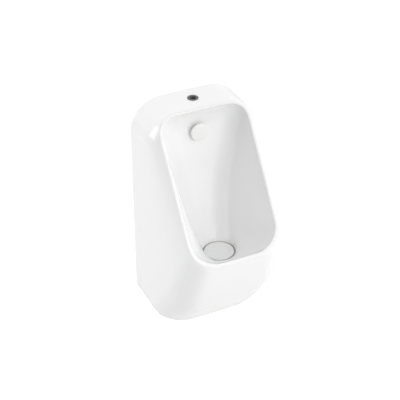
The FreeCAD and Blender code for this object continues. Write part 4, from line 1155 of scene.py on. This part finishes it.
@dataclass
class Studio:
    """Camera, light and floor."""

    aim: Place = (-0.0246, -0.150, -0.1017)
    distance: float = 3.310
    azimuth: float = -25.4
    elevation: float = 34.3
    lens: float = 108.0
    floor_height: float = -0.90
    floor_reach: float = 14.0
    floor_glow: float = 0.30
    ambient: float = 0.985
    dim_ambient: float = 0.205
    dim_side: Place = (-0.70, -0.66, 0.05)
    lamps: tuple[Lamp, ...] = (Lamp("side", (-2.4, 0.9, 0.9), 1.5, 23.0), Lamp("front", (0.3, -2.6, 1.3), 1.4, 18.0),
                               Lamp("front_low", (0.9, -2.6, -0.2), 1.4, 5.5),
                               Lamp("right", (2.6, -0.6, 0.2), 1.4, 8.8))

    def build(self) -> None:
        """Set up camera, world, lights and floor."""
        self._camera()
        self._world()
        for lamp in self.lamps:
            self._hang(lamp)
        self._floor()
        bpy.context.scene.view_settings.view_transform = "Standard"
        log.info("stage is set")

    def _camera(self) -> None:
        """Place the camera of the main view."""
        data = bpy.data.cameras.new("camera")
        data.lens, data.sensor_width = self.lens, 36.0
        made = placed(data)
        turn, rise = math.radians(self.azimuth), math.radians(self.elevation)
        away = Vector((math.sin(turn) * math.cos(rise), -math.cos(turn) * math.cos(rise), math.sin(rise)))
        made.location = Vector(self.aim) + away * self.distance
        made.rotation_euler = away.to_track_quat("Z", "Y").to_euler()
        bpy.context.scene.camera = made

    def _world(self) -> None:
        """White behind the object, a plain pale light from all sides."""
        world = bpy.data.worlds.new("studio")
        world.use_nodes = True
        nodes = Nodes(world.node_tree)
        world.node_tree.nodes.clear()
        rays = nodes.add("ShaderNodeLightPath").outputs
        seen = nodes.math("MAXIMUM", rays["Is Camera Ray"], rays["Is Transmission Ray"])
        way = nodes.add("ShaderNodeTexCoord").outputs["Generated"]
        side = nodes.add("ShaderNodeVectorMath", {0: way, 1: tuple(Vector(self.dim_side).normalized())},
                         operation="DOT_PRODUCT").outputs["Value"]
        fade = nodes.spread(side, (0.1, 0.85), (self.ambient, self.dim_ambient), interpolation_type="SMOOTHSTEP")
        light, white = (nodes.add("ShaderNodeBackground", {"Color": WHITE, "Strength": strength}).outputs[0]
                        for strength in (fade, 1.0))
        nodes.add("ShaderNodeOutputWorld", {"Surface": nodes.mix_shader(seen, light, white)})
        bpy.context.scene.world = world

    def _hang(self, lamp: Lamp) -> None:
        """Hang a square soft light that faces the object.

        Args:
            lamp: which light.
        """
        data = bpy.data.lights.new(lamp.name, "AREA")
        data.size, data.energy = lamp.size, lamp.power
        made = placed(data)
        made.location = lamp.place
        made.rotation_euler = (Vector(lamp.place) - Vector(self.aim)).to_track_quat("Z", "Y").to_euler()

    def _floor(self) -> None:
        """Lay a plain pale floor that reads white, keeps the shadow and is clear from below."""
        reach, height = self.floor_reach, self.floor_height
        mesh = mesh_of("floor", [(-reach, -reach, height), (reach, -reach, height), (reach, reach, height),
                                 (-reach, reach, height)], [(0, 1, 2, 3)])
        material = bpy.data.materials.new("floor")
        material.use_nodes = True
        nodes = Nodes(material.node_tree)
        material.node_tree.nodes.clear()
        matte = nodes.add("ShaderNodeBsdfDiffuse", {"Color": (0.86, 0.86, 0.86, 1.0)}).outputs[0]
        glow = nodes.add("ShaderNodeEmission", {"Color": WHITE, "Strength": self.floor_glow}).outputs[0]
        both = nodes.add("ShaderNodeAddShader", {0: matte, 1: glow}).outputs[0]
        seen = nodes.add("ShaderNodeLightPath").outputs["Is Camera Ray"]
        below = nodes.add("ShaderNodeNewGeometry").outputs["Backfacing"]
        through = nodes.add("ShaderNodeBsdfTransparent").outputs[0]
        nodes.add("ShaderNodeOutputMaterial",
                  {"Surface": nodes.mix_shader(below, nodes.mix_shader(seen, matte, both), through)})
        mesh.materials.append(material)
        made = placed(mesh)


# ---- model


@dataclass
class Urinal:
    """The whole object: the new pieces, and the frame's pieces in their finishes."""

    frame: dict[str, object]

    def build(self) -> None:
        """Dress the frame's pieces, then build the new ones over them."""
        slots = {part["node"]: part["material_slot"] for part in self.frame["record"]["subparts"]}
        self._dress(slots)
        Softened().build(self.frame["nodes"], slots)
        casting = Casting(LOOKS["glaze"], LOOKS["bisque"])
        for piece in casting.build(self.frame["nodes"]["ceramic_body"]):
            seat(piece, "urinal", "glaze", "ceramic_body")
        FlushSide().build()
        Cover().build()
        HandNuts().build()

    def _dress(self, slots: dict[str, str]) -> None:
        """Give every piece of the frame the finish of its slot.

        Args:
            slots: material slot by piece name.
        """
        for name, node in self.frame["nodes"].items():
            finish = LOOKS[slots[name]]
            node.data.materials.clear()
            node.data.materials.append(finish.material())
            log.info("%s is dressed as %s", name, finish.name)


def main() -> None:
    """Load the frame, build the model and the stage."""
    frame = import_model()
    Urinal(frame).build()
    Studio().build()


if __name__ == "__main__":
    logging.basicConfig(level=logging.INFO, format="%(name)s: %(message)s")
    main()
